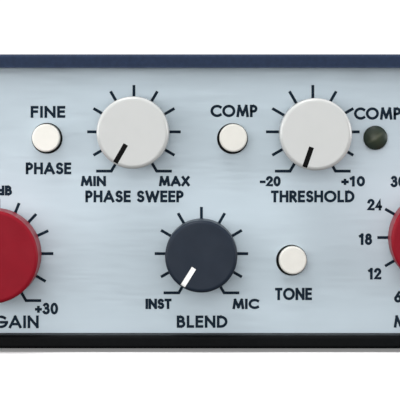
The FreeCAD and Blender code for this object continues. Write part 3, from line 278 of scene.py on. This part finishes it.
# material slot in the record: its material; the first number after each colour is its roughness
MATERIALS = {
    # each paint's lighter edge colour is rubbed paint with a painted highlight
    "cover_navy": powder_coat("navy_paint", COVER_NAVY, 0.42, worn_and_lit=(0.12, 0.17, 0.27), gloss=0.12),
    "tray_black": powder_coat("black_paint", TRAY_BLACK, 0.5, worn_and_lit=(0.05, 0.05, 0.05), gloss=0.06),
    "rear_black": powder_coat("rear_paint", (0.016, 0.016, 0.018), 0.55, worn_and_lit=(0.1, 0.1, 0.1),
                              grain=0.7 * MM, relief=0.05 * MM),
    "panel_satin": satin_panel("satin_panel", PANEL_TINT),
    "rail_aluminium": metal("mill_aluminium", (0.6, 0.61, 0.62), 0.4, stretch=(1, 0.05, 1)),
    "foot_rubber": moulded("foot_rubber", (0.015, 0.015, 0.015), 0.8, mottle=0.2, relief=0.03 * MM,
                           grain=0.5 * MM),
    "zinc_steel": metal("zinc_plate", (0.6, 0.6, 0.58), 0.32),
    "black_steel": metal("black_oxide", (0.03, 0.03, 0.032), 0.4),
    "board_green": circuit_board("solder_mask"),
    "brass": metal("brass", (0.7, 0.5, 0.2), 0.3),
    "knob_red": moulded("red_plastic", (0.225, 0.006, 0.015), 0.4, mottle=0.05, Specular_IOR_Level=0.22, IOR=1.3),
    "knob_white": moulded("white_plastic", (0.475, 0.485, 0.477), 0.4, mottle=0.012, Specular_IOR_Level=0.35,
                          Coat_Weight=0.8, Coat_Roughness=0.12),
    "knob_slate": moulded("slate_plastic", (0.014, 0.021, 0.034), 0.4, mottle=0.07, Specular_IOR_Level=0.15),
    "shaft_steel": metal("turned_steel", (0.55, 0.55, 0.55), 0.28, stretch=(1, 0.1, 1)),
    "pot_metal": metal("pot_plate", (0.5, 0.5, 0.48), 0.38),
    "nickel": metal("nickel_plate", (0.66, 0.65, 0.61), 0.24),
    "switch_black": moulded("switch_plastic", (0.015, 0.015, 0.016), 0.5, mottle=0.1),
    "rocker_black": moulded("rocker_plastic", (0.018, 0.018, 0.019), 0.35, mottle=0.1),
    "cap_cream": moulded("cream_plastic", (0.88, 0.865, 0.8), 0.38, mottle=0.03, relief=0.02 * MM, grain=0.4 * MM),
    "cap_black": moulded("cap_plastic", (0.016, 0.016, 0.017), 0.4, mottle=0.1),
    "lamp_green": lamp_lens("lamp_lens", middle("comp_led"), rim=(0.02, 0.034, 0.026), core=(0.038, 0.048, 0.028),
                            painted_glint=(0.12, 0.13, 0.09)),
    "screening_can": metal("screening_can", (0.5, 0.5, 0.5), 0.4, stretch=(1, 1, 0.2)),
    "laminations": metal("laminations", (0.2, 0.2, 0.22), 0.45, stretch=(1, 0.02, 1), grain=0.35 * MM,
                         relief=0.05 * MM),
    "capacitor_sleeve": moulded("capacitor_sleeve", (0.02, 0.03, 0.07), 0.3, mottle=0.1),
    "heat_sink_black": metal("heat_sink", (0.03, 0.03, 0.03), 0.5, stretch=(1, 1, 0.1)),
    "ribbon_grey": moulded("ribbon_grey", (0.33, 0.34, 0.36), 0.5, mottle=0.05),
    "connector_nickel": metal("die_cast_nickel", (0.42, 0.42, 0.41), 0.36),
    "contact_gold": metal("gold_plate", (0.83, 0.6, 0.24), 0.25),
    "jack_black": moulded("jack_plastic", (0.014, 0.014, 0.014), 0.32, mottle=0.1),
    "latch_metal": metal("latch_plate", (0.5, 0.5, 0.49), 0.3),
}
INK_GRAIN = {"relief": 0.004 * MM, "grain": 0.15 * MM}
INK_DARK = moulded("dark_ink", INK_NAVY, 0.6, mottle=0.12, Specular_IOR_Level=0.1, **INK_GRAIN)
INK_WHITE = moulded("white_ink", (0.8, 0.8, 0.78), 0.5, mottle=0.03, **INK_GRAIN)
PAINT_BLACK = moulded("pointer_black", (0.003, 0.003, 0.003), 0.6, mottle=0.1, Specular_IOR_Level=0.08)
PAINT_WHITE = moulded("pointer_white", (0.9, 0.9, 0.88), 0.45, mottle=0.02)


def dress_nodes():
    """Gives every CAD node the material of its slot in the record."""
    for subpart in frame["record"]["subparts"]:
        node = frame["nodes"][subpart["node"]]
        node.data.materials.clear()
        node.data.materials.append(MATERIALS[subpart["material_slot"]])


# ---------------------------------------------------------------- flat strokes and letters

# degrees between the points of an arc, and the fewest steps that an arc has
ARC_STEP = 11
ARC_STEPS_MIN = 4
SAME_POINT = 1e-9
# keeps the mitre of a sharp corner from running out into a spike
MITRE_LIMIT = 0.6


def line(*points):
    """A stroke straight from point to point."""
    return [Vector(point) for point in points]


def arc(x, y, radius_x, radius_y, start, end):
    """Points round an ellipse, between angles in degrees anticlockwise from the right."""
    steps = max(ARC_STEPS_MIN, round(abs(end - start) / ARC_STEP))
    angles = [math.radians(start + (end - start) * step / steps) for step in range(steps + 1)]
    return [Vector((x + radius_x * math.cos(a), y + radius_y * math.sin(a))) for a in angles]


def ring(x, y, radius_x, radius_y):
    """A closed ellipse: the last point repeats the first."""
    return arc(x, y, radius_x, radius_y, 90, 450)


# the reach of the bowls of P and R
BOWL = 0.26
# each letter: its width, and the strokes of its centre line, with a cap height of 1
GLYPHS = {
    "A": (0.82, [line((0, 0), (0.41, 1)), line((0.41, 1), (0.82, 0)), line((0.15, 0.28), (0.67, 0.28))]),
    "B": (0.5, [line((0, 0.54), (0, 1), (0.2, 1)) + arc(0.2, 0.77, 0.23, 0.23, 90, -90) + line((0, 0.54)),
                line((0, 0.54), (0, 0), (0.24, 0)) + arc(0.24, 0.27, 0.27, 0.27, -90, 90)]),
    "C": (0.76, [arc(0.5, 0.5, 0.5, 0.5, 52, 308)]),
    "D": (0.68, [line((0.2, 0), (0, 0), (0, 1), (0.2, 1)) + arc(0.2, 0.5, 0.48, 0.5, 90, -90)]),
    "E": (0.44, [line((0.44, 1), (0, 1), (0, 0), (0.44, 0)), line((0, 0.53), (0.4, 0.53))]),
    "F": (0.42, [line((0.42, 1), (0, 1), (0, 0)), line((0, 0.53), (0.38, 0.53))]),
    "G": (0.9, [arc(0.5, 0.5, 0.48, 0.5, 48, 345), line((0.52, 0.46), (0.98, 0.46))]),
    "H": (0.62, [line((0, 0), (0, 1)), line((0.62, 0), (0.62, 1)), line((0, 0.53), (0.62, 0.53))]),
    "I": (0.0, [line((0, 0), (0, 1))]),
    "L": (0.4, [line((0, 1), (0, 0), (0.4, 0))]),
    "M": (0.92, [line((0, 0), (0.13, 1)), line((0.13, 1), (0.46, 0.1)), line((0.46, 0.1), (0.79, 1)),
                 line((0.79, 1), (0.92, 0))]),
    "N": (0.68, [line((0, 0), (0, 1)), line((0.02, 0.96), (0.66, 0.04)), line((0.68, 0), (0.68, 1))]),
    "O": (0.98, [ring(0.49, 0.5, 0.49, 0.5)]),
    "P": (0.46, [line((0, 0), (0, 1), (0.2, 1)) + arc(0.2, 0.73, BOWL, 0.27, 90, -90) + line((0, 0.46))]),
    "R": (0.5, [line((0, 0), (0, 1), (0.2, 1)) + arc(0.2, 0.74, BOWL, 0.26, 90, -90) + line((0, 0.48)),
                line((0.18, 0.48), (0.5, 0))]),
    "S": (0.48, [arc(0.25, 0.755, 0.22, 0.245, 35, 270) + arc(0.25, 0.255, 0.245, 0.255, 90, -145)]),
    "T": (0.5, [line((0, 1), (0.5, 1)), line((0.25, 1), (0.25, 0))]),
    "U": (0.58, [line((0, 1), (0, 0.3)) + arc(0.29, 0.29, 0.29, 0.29, 180, 360) + line((0.58, 1))]),
    "V": (0.74, [line((0, 1), (0.37, 0)), line((0.37, 0), (0.74, 1))]),
    "W": (1.14, [line((0, 1), (0.28, 0)), line((0.28, 0), (0.57, 0.92)), line((0.57, 0.92), (0.86, 0)),
                 line((0.86, 0), (1.14, 1))]),
    "X": (0.62, [line((0, 0), (0.6, 1)), line((0.02, 1), (0.62, 0))]),
    "Y": (0.62, [line((0, 1), (0.31, 0.46), (0.62, 1)), line((0.31, 0.46), (0.31, 0))]),
    "0": (0.54, [ring(0.27, 0.5, 0.27, 0.5)]),
    "1": (0.32, [line((0, 0.84), (0.22, 0.98)), line((0.22, 1), (0.22, 0))]),
    "2": (0.52, [arc(0.26, 0.74, 0.25, 0.26, 170, -35) + line((0, 0), (0.52, 0))]),
    "3": (0.5, [arc(0.24, 0.77, 0.2, 0.23, 150, -90), arc(0.24, 0.27, 0.26, 0.27, 90, -150)]),
    "4": (0.5, [line((0.38, 0), (0.38, 0.98), (0, 0.26), (0.48, 0.26))]),
    "5": (0.5, [line((0.46, 1), (0.14, 1), (0.06, 0.56)) + arc(0.22, 0.31, 0.28, 0.31, 118, -140)]),
    "6": (0.56, [ring(0.28, 0.29, 0.28, 0.29), line((0.42, 1), (0.05, 0.44))]),
    "8": (0.52, [ring(0.26, 0.78, 0.2, 0.22), ring(0.26, 0.28, 0.26, 0.28)]),
    "d": (0.54, [ring(0.27, 0.27, 0.27, 0.27), line((0.54, 0), (0.54, 1))]),
    "+": (0.46, [line((0, 0.42), (0.46, 0.42)), line((0.23, 0.19), (0.23, 0.65))]),
    "-": (0.36, [line((0, 0.42), (0.36, 0.42))]),
    " ": (0.16, []),
}
# the space between letters, for a cap height of 1
LETTER_GAP = 0.35


def is_closed(points):
    """Whether a stroke ends where it starts."""
    return (points[0] - points[-1]).length < SAME_POINT


def ribbon(mesh, points, width, bottom, top):
    """A flat solid strip along points, with mitred corners; a repeated end point joins the strip's ends."""
    closed = is_closed(points)
    path = points[:-1] if closed else points
    count = len(path)
    sides = []
    for index, point in enumerate(path):
        before = path[index - 1] if closed or index else None
        after = path[(index + 1) % count] if closed or index < count - 1 else None
        runs = [(b - a).normalized() for a, b in ((before, point), (point, after)) if a and b]
        normals = [Vector((-run.y, run.x)) for run in runs]
        mitre = sum(normals, Vector((0, 0))).normalized()
        reach = width / 2 / max(MITRE_LIMIT, mitre.dot(normals[0]))
        sides.append((point + mitre * reach, point - mitre * reach))
    rings = [[mesh.verts.new((*corner, height)) for height in (bottom, top) for corner in pair] for pair in sides]
    pairs = zip(rings, rings[1:] + rings[:1]) if closed else zip(rings, rings[1:])
    for (a, b, c, d), (e, f, g, h) in pairs:
        for face in ((c, d, h, g), (b, a, e, f), (a, c, g, e), (d, b, f, h)):
            mesh.faces.new(face)
    if not closed:
        a, b, c, d = rings[0]
        mesh.faces.new((a, b, d, c))
        a, b, c, d = rings[-1]
        mesh.faces.new((b, a, c, d))


def word_strokes(text, x, y, cap, width=None, weight=LETTER_WEIGHT):
    """The strokes of a word centred on x with its baseline at y; its letters fill the width if one is given."""
    tall = cap - weight
    natural = sum(GLYPHS[c][0] for c in text) * tall + (len(text) - 1) * LETTER_GAP * tall
    stretch = (width - weight) / natural if width else 1.0
    pen, strokes = x - natural * stretch / 2, []
    for letter in text:
        advance, parts = GLYPHS[letter]
        for part in parts:
            path = [Vector((pen + point.x * tall * stretch, y + weight / 2 + point.y * tall)) for point in part]
            if not is_closed(path):
                inwards = (path[1] - path[0]).normalized(), (path[-2] - path[-1]).normalized()
                path[0] -= inwards[0] * weight / 2
                path[-1] -= inwards[1] * weight / 2
            strokes.append(path)
        pen += (advance + LETTER_GAP) * tall * stretch
    return strokes


def join_rows(mesh, first, second):
    """Faces between two rows of vertices, each row a closed loop."""
    for index in range(len(first)):
        after = (index + 1) % len(first)
        mesh.faces.new((first[index], first[after], second[after], second[index]))


def finish_piece(name, mesh, material, body, matrix):
    """Turns a bmesh into a shown piece that rides on a body."""
    bmesh.ops.recalc_face_normals(mesh, faces=mesh.faces)
    data = bpy.data.meshes.new(name)
    mesh.to_mesh(data)
    mesh.free()
    data.transform(matrix)
    data.materials.append(material)
    made = bpy.data.objects.new(name, data)
    bpy.context.scene.collection.objects.link(made)
    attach(made, body)


def print_strokes(name, groups, place, turn, material):
    """Prints groups of (strokes, width) on a panel, as a film of ink a few hundredths of a millimetre thick."""
    mesh = bmesh.new()
    for strokes, width in groups:
        for number, stroke in enumerate(strokes):
            ribbon(mesh, stroke, width, -INK_SINK, INK_THICKNESS + INK_STEP * (number % INK_STEPS))
    finish_piece(name, mesh, material, "case", Matrix.Translation(place) @ turn)


def at_front(point):
    """The point moved onto the face of the front panel."""
    return Vector((point.x, FACE_Y, point.z))


def at_rear(point):
    """The point moved onto the face of the rear panel."""
    return Vector((point.x, BACK_Y, point.z))


# ---------------------------------------------------------------- scales round the knobs

SMALL_SCALE = {"inner": 7 * MM, "outer": 9.85 * MM, "corner": 9.55 * MM}
GAIN_SCALE = {"inner": 8.6 * MM, "outer": 11.5 * MM, "corner": 11.45 * MM}
SWITCH_SCALE = {"inner": 9.4 * MM, "outer": 12.05 * MM, "corner": 12.05 * MM}
# where the middle of each printed scale stands from its shaft, in steps right and up
SCALE_SHIFT = {"inst_gain": (0.7 * MM, 0.1 * MM), "phase_sweep": (0, 0.05 * MM), "blend": (0, 0.1 * MM),
               "threshold": (-0.36 * MM, 0.4 * MM), "mic_gain": (0.1 * MM, 0)}
CORNER_TAIL = 3.2 * MM


def ray(angle, radius):
    """A point at that radius, at an angle in degrees clockwise from the top."""
    turned = math.radians(angle)
    return Vector((math.sin(turned) * radius, math.cos(turned) * radius))


def tick_strokes(angles, inner, outer, corner, bent=(-150, 150)):
    """Radial ticks, and at each bent angle a tick that turns outwards along the panel."""
    strokes = [[ray(angle, inner), ray(angle, outer)] for angle in angles]
    for angle in bent:
        turn = ray(angle, corner)
        strokes.append([ray(angle, inner), turn, turn + Vector((math.copysign(CORNER_TAIL, angle), 0))])
    return strokes


EVEN_TICKS = range(-120, 121, 30)
# one list holds both sides of the scale, less the second copy of the tick at the top
GAIN_TICKS = [side * angle for angle in (0, 22, 43.5, 65.2, 90, 120.8) for side in (-1, 1)][1:]
SWITCH_TICKS = range(-180, 151, 30)
# the decibel numbers stand on a circle whose middle is a little below the shaft's
DECIBEL_RADIUS = 14.55 * MM
DECIBEL_DROP = 0.35 * MM
DECIBEL_CAP = 2.45 * MM
DECIBEL_STEP = 6
# the numbers beside the top and the bottom one stand a step further out and nearer the middle height
SHOULDER_ANGLES = (30, 150)
SHOULDER_SHIFT = (0.42 * MM, 0.45 * MM)

# words beside each control, in millimetres: text, steps right and up from the control, cap height, full width
WORDS = {
    "phase_sweep": [("MIN", -8.55, -11.45, 2.15, 5.3), ("MAX", 8.5, -11.45, 2.15, 6.5),
                    ("PHASE SWEEP", 0.1, -14.85, 2.5, 20.7)],
    "threshold": [("-20", -8.95, -11.5, 2.2, 4.4), ("+10", 8.5, -11.5, 2.2, 5.0),
                  ("THRESHOLD", 0, -14.85, 2.5, 17.6)],
    "blend": [("INST", -9.05, -11.7, 2.2, 5.5), ("MIC", 9.3, -11.7, 2.2, 5.5),
              ("BLEND", 0.15, -15.65, 2.6, 10.7)],
    "inst_gain": [("0 dB", -0.1, 12.25, 2.1, 5.8), ("-30", -10.1, -12.85, 2.5, 4.9),
                  ("+30", 10.05, -12.85, 2.5, 4.9), ("INST GAIN", -1.05, -15.75, 2.7, 18.9)],
    "mic_gain": [("MIC GAIN", -0.25, -19.0, 2.6, 16.6)],
    "fine_phase": [("FINE", 0.3, 4.2, 2.5, 7.3), ("PHASE", 0.4, -7.7, 2.5, 9.6)],
    "comp": [("COMP", 0.15, 4.35, 2.6, 9.9)],
    "tone": [("TONE", 0.2, -8.5, 2.6, 7.8)],
    "pad": [("PAD", 0, 4.3, 2.5, None)],
    "phantom": [("+48", 0, 4.3, 2.5, None)],
    "highpass": [("HPF", 0, 4.3, 2.5, None)],
    "polarity": [("POLARITY", 0, -8.5, 2.5, None)],
}
LAMP_WORDS = {"comp_led": [("COMP", 0.45, 3.8, 2.6, 9.9)], "power_led": [("ON", 0, 3.9, 2.5, None)]}


def word_groups(words, weight=LETTER_WEIGHT):
    """Groups of (strokes, width) for the rows of a table of words."""
    return [(word_strokes(text, x * MM, y * MM, cap * MM, width and width * MM, weight), weight)
            for text, x, y, cap, width in words]


def scale_groups(control):
    """The tick marks round a knob, and the decibel numbers round the gain switch."""
    if control == "mic_gain":
        groups = [(tick_strokes(SWITCH_TICKS, bent=(), **SWITCH_SCALE), TICK_WIDTH)]
        for step, angle in enumerate(SWITCH_TICKS):
            spot = ray(angle, DECIBEL_RADIUS)
            if abs(angle) in SHOULDER_ANGLES:
                out, towards_middle = SHOULDER_SHIFT
                spot += Vector((math.copysign(out, spot.x), -math.copysign(towards_middle, spot.y)))
            low = spot.y - DECIBEL_CAP / 2 - DECIBEL_DROP
            groups.append((word_strokes(str(step * DECIBEL_STEP), spot.x, low, DECIBEL_CAP), LETTER_WEIGHT))
        return groups
    if control == "inst_gain":
        return [(tick_strokes(GAIN_TICKS, **GAIN_SCALE), TICK_WIDTH)]
    return [(tick_strokes(EVEN_TICKS, **SMALL_SCALE), TICK_WIDTH)]


def front_legends():
    """The words and scales of each control, and the words over the lamps."""
    for control, words in WORDS.items():
        knob = control in POINTER_AT_REST
        spot = at_front(middle(f"{control}_shaft" if knob else f"{control}_button"))
        right, up = SCALE_SHIFT.get(control, (0, 0))
        spot += Vector((right, 0, up))
        groups = (scale_groups(control) if knob else []) + word_groups(words)
        print_strokes(f"legend_{control}", groups, spot, OUT_FRONT, INK_DARK)
    for lamp, words in LAMP_WORDS.items():
        print_strokes(f"legend_{lamp}", word_groups(words), at_front(middle(lamp)), OUT_FRONT, INK_DARK)


METER_LEVELS = ("-30", "-24", "-18", "-12", "-6", "0", "+6", "+12")
METER_CAP = 1.7 * MM
METER_WEIGHT = 0.28 * MM
METER_ASIDE = -4.6 * MM


def meter_legend():
    """Numbers to the left of the level lamps, from the lowest lamp up."""
    low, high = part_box("meter_leds")
    lamp_radius = (high.x - low.x) / 2
    pitch = (high.z - low.z - 2 * lamp_radius) / (len(METER_LEVELS) - 1)
    strokes = []
    for number, text in enumerate(METER_LEVELS):
        strokes += word_strokes(text, METER_ASIDE, pitch * number - METER_CAP / 2, METER_CAP, weight=METER_WEIGHT)
    spot = Vector(((low.x + high.x) / 2, FACE_Y, low.z + lamp_radius))
    print_strokes("legend_meter", [(strokes, METER_WEIGHT)], spot, OUT_FRONT, INK_DARK)


# words beside each part of the rear panel, in the same form as the words on the front
REAR_WORDS = {
    "mic_input_socket": [("MIC", 0, 17.2, 2.4, None)],
    "line_output_connector": [("LINE OUT", 0, 17.2, 2.4, None)],
    "instrument_jack": [("INST", 0, 9.5, 2.4, None)],
    "thru_jack": [("THRU", 0, 9.5, 2.4, None)],
    "dc_inlet": [("15 V DC", 0, 8.6, 2.4, None)],
    "power_switch_frame": [("POWER", 0, 12.4, 2.4, None)],
    "ground_lift_button": [("LIFT", 0, 4.4, 2.4, None)],
}
REAR_WEIGHT = 0.34 * MM
FLANGED = ("mic_input_socket", "line_output_connector")
# words over a connector with a flange are measured from a point this far below the flange's top
FLANGE_RISE = 15.5 * MM


def rear_legends():
    """The words over the connectors and switches of the rear panel."""
    for node, words in REAR_WORDS.items():
        spot = at_rear(middle(node))
        if node in FLANGED:
            spot.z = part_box(node)[1].z - FLANGE_RISE
        print_strokes(f"legend_{node}", word_groups(words, REAR_WEIGHT), spot, OUT_REAR, INK_WHITE)


# ---------------------------------------------------------------- pointers

def pointer(control):
    """The painted fill of a knob's pointer groove, which follows the knob's rounded edge."""
    low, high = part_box(f"{control}_knob")
    spot = middle(f"{control}_shaft")
    height = FACE_Y - low.y
    radius = (high.z - low.z) / 2 - KNOB_FLARE
    flat = radius - KNOB_ROUND
    outer = radius - POINTER_RIM
    bottom = height - POINTER_DEPTH
    mesh = bmesh.new()
    rows = []
    for section in range(POINTER_SECTIONS + 1):
        reach = POINTER_INNER + (outer - POINTER_INNER) * section / POINTER_SECTIONS
        over = max(0.0, reach - flat)
        top = height - KNOB_ROUND + math.sqrt(KNOB_ROUND ** 2 - over ** 2) - PAINT_GAP
        top = max(top, bottom + PAINT_MIN)
        rows.append([mesh.verts.new((side * POINTER_WIDTH / 2, reach, level))
                     for side, level in ((-1, bottom), (1, bottom), (1, top), (-1, top))])
    for first, second in zip(rows, rows[1:]):
        join_rows(mesh, first, second)
    mesh.faces.new(rows[0])
    mesh.faces.new(reversed(rows[-1]))
    turn = OUT_FRONT @ Matrix.Rotation(math.radians(-POINTER_AT_REST[control]), 4, "Z")
    white = control not in WHITE_KNOBS
    finish_piece(f"pointer_{control}", mesh, PAINT_WHITE if white else PAINT_BLACK, f"{control}_control",
                 Matrix.Translation(at_front(spot)) @ turn)


# ---------------------------------------------------------------- threads

JACK_THREAD = {"radius": 4.7 * MM, "low": 2.2 * MM, "high": 4.5 * MM, "pitch": 0.8 * MM}
# the ridge's section, in pitches: steps out from the bushing and along it
RIDGE = ((0.0, -0.42), (0.22, 0.0), (0.0, 0.42))
RIDGE_FILL = 0.9
THREAD_STEPS = 40
RUN_OUT_STEPS = 8


def thread(name, place, turn, radius, low, high, pitch, material, slot):
    """A helical ridge round a bushing, from low to high along the turn's own Z, run out at both ends."""
    mesh = bmesh.new()
    count = int((high - low - pitch) / pitch * THREAD_STEPS)
    rows = []
    for step in range(count + 1):
        angle = 2 * math.pi * step / THREAD_STEPS
        fade = min(1.0, step / RUN_OUT_STEPS, (count - step) / RUN_OUT_STEPS)
        along = low + pitch / 2 + pitch * step / THREAD_STEPS
        rows.append([mesh.verts.new(((radius + out * pitch * fade) * math.cos(angle),
                                     (radius + out * pitch * fade) * math.sin(angle),
                                     along + up * pitch * RIDGE_FILL)) for out, up in RIDGE])
    for first, second in zip(rows, rows[1:]):
        for index in range(len(RIDGE)):
            after = (index + 1) % len(RIDGE)
            mesh.faces.new((first[index], second[index], second[after], first[after]))
    mesh.faces.new(rows[0])
    mesh.faces.new(reversed(rows[-1]))
    finish_piece(name, mesh, material, "case", Matrix.Translation(place) @ turn)


def jack_threads():
    """The threads on the bushings of the two jacks, in front of and behind their nuts."""
    for jack in ("instrument_jack", "thru_jack"):
        place = at_rear(middle(jack))
        place.z = middle("jack_nuts").z
        thread(f"thread_{jack}", place, OUT_REAR, **JACK_THREAD, material=MATERIALS["nickel"], slot="nickel")


# ---------------------------------------------------------------- details of the rear connectors

CONTACT_CIRCLE = 4.4 * MM
CONTACT_ANGLES = (30, 150, 270)
# closed profiles, in millimetres: radius, and height out of the rear panel
SLEEVE_PROFILE = ((1.32, -0.4), (1.32, -6), (1.05, -6), (1.05, -0.4))
WELL_INSULATOR = ((8.0, -14.0), (8.0, -14.9), (0.5, -14.9), (0.5, -14.0))
TURNED_STEPS = 32


def turned_part(name, profile, place, turn, material):
    """A round piece: a closed profile spun about the turn's own Z."""
    mesh = bmesh.new()
    rows = []
    for step in range(TURNED_STEPS):
        angle = 2 * math.pi * step / TURNED_STEPS
        rows.append([mesh.verts.new((radius * MM * math.cos(angle), radius * MM * math.sin(angle), height * MM))
                     for radius, height in profile])
    for first, second in zip(rows, rows[1:] + rows[:1]):
        join_rows(mesh, first, second)
    finish_piece(name, mesh, material, "case", Matrix.Translation(place) @ turn)


def connector_details():
    """Plated sleeves in the microphone contacts, and the insulator at the bottom of the output's well."""
    socket = at_rear(middle("mic_input_insert"))
    for number, angle in enumerate(CONTACT_ANGLES):
        aside = ray(90 - angle, CONTACT_CIRCLE)
        turned_part(f"mic_contact_sleeve_{number}", SLEEVE_PROFILE, socket + OUT_REAR @ Vector((*aside, 0)),
                    OUT_REAR, MATERIALS["contact_gold"])
    well = Vector((middle("line_output_connector").x, BACK_Y, socket.z))
    turned_part("line_output_insulator", WELL_INSULATOR, well, OUT_REAR, MATERIALS["jack_black"])


# ---------------------------------------------------------------- stage, lights and camera

# the room darkens towards the camera's side: the way it brightens, and the range and strengths of the change
ROOM_SLOPE = (0, 0.35, 1)
ROOM_FADE = {"From Min": -0.6, "From Max": 0.3, "To Min": 0.25, "To Max": 1.1}
FLOOR_HALF = 4.0
FLOOR_GLOW = 0.22
# each light: its name, place, width and height, and power in watts
LIGHTS = [
    ("front_softbox", Vector((-0.3, -1.3, 0.12)), (1.1, 0.6), 5.4),
    ("left_softbox", Vector((-1.15, -0.32, 0.16)), (0.8, 0.5), 9.0),
    ("right_softbox", Vector((1.15, -0.32, 0.16)), (0.8, 0.5), 7.5),
    ("overhead_softbox", Vector((-0.25, -0.42, 1.15)), (0.7, 0.5), 8.5),
]
LIGHT_AIM = Vector((0, FACE_Y, 30 * MM))


def white_room():
    """A white surrounding whose strength changes with direction."""
    world = bpy.data.worlds.new("white_room")
    bpy.context.scene.world = world
    world.use_nodes = True
    nodes, links = world.node_tree.nodes, world.node_tree.links
    nodes["Background"].inputs["Color"].default_value = (1, 1, 1, 1)
    direction = nodes.new("ShaderNodeTexCoord")
    slope = nodes.new("ShaderNodeVectorMath")
    slope.operation = "DOT_PRODUCT"
    slope.inputs[1].default_value = ROOM_SLOPE
    links.new(direction.outputs["Generated"], slope.inputs[0])
    fade = nodes.new("ShaderNodeMapRange")
    fade.interpolation_type = "SMOOTHSTEP"
    for socket, number in ROOM_FADE.items():
        fade.inputs[socket].default_value = number
    links.new(slope.outputs["Value"], fade.inputs["Value"])
    links.new(fade.outputs["Result"], nodes["Background"].inputs["Strength"])


def pale_floor():
    """A plain floor that takes shadows but throws no light back on the object."""
    mesh = bmesh.new()
    bmesh.ops.create_grid(mesh, x_segments=1, y_segments=1, size=FLOOR_HALF)
    data = bpy.data.meshes.new("floor")
    mesh.to_mesh(data)
    mesh.free()
    floor = bpy.data.objects.new("floor", data)
    bpy.context.scene.collection.objects.link(floor)
    pale = new_material("pale_floor", (0.93, 0.93, 0.93), roughness=0.6, Emission_Strength=FLOOR_GLOW)
    vary_roughness(pale, low=0.55, high=0.65, feature=30 * MM)
    data.materials.append(pale)
    floor.visible_diffuse = False
    floor.visible_glossy = False


def aim(thing, target):
    """Turns a light or a camera to look at a point."""
    thing.rotation_euler = (target - thing.location).to_track_quat("-Z", "Y").to_euler()


def softboxes():
    """The rectangular lights round the camera and above the object."""
    for name, place, size, power in LIGHTS:
        data = bpy.data.lights.new(name, "AREA")
        data.shape = "RECTANGLE"
        data.size, data.size_y = size
        data.energy = power
        light = bpy.data.objects.new(name, data)
        light.location = place
        aim(light, LIGHT_AIM)
        bpy.context.scene.collection.objects.link(light)


CAMERA_DISTANCE = 830 * MM
CAMERA_HEIGHT = 54 * MM
CAMERA_X = 4 * MM
CAMERA_AIM = Vector((-0.3 * MM, FACE_Y, 31.7 * MM))
FIELD_WIDTH = 84.2 * MM
SENSOR = 36.0


def camera():
    """A camera in front of the panel, whose picture is one field width wide at the panel's face."""
    data = bpy.data.cameras.new("camera")
    data.sensor_width = SENSOR
    data.lens = SENSOR * CAMERA_DISTANCE / FIELD_WIDTH
    made = bpy.data.objects.new("camera", data)
    made.location = (CAMERA_X, FACE_Y - CAMERA_DISTANCE, CAMERA_HEIGHT)
    aim(made, CAMERA_AIM)
    bpy.context.scene.collection.objects.link(made)
    bpy.context.scene.camera = made
    bpy.context.scene.view_settings.view_transform = "Standard"


# ---------------------------------------------------------------- build

dress_nodes()
front_legends()
meter_legend()
rear_legends()
for name in POINTER_AT_REST:
    pointer(name)
jack_threads()
connector_details()
white_room()
pale_floor()
softboxes()
camera()
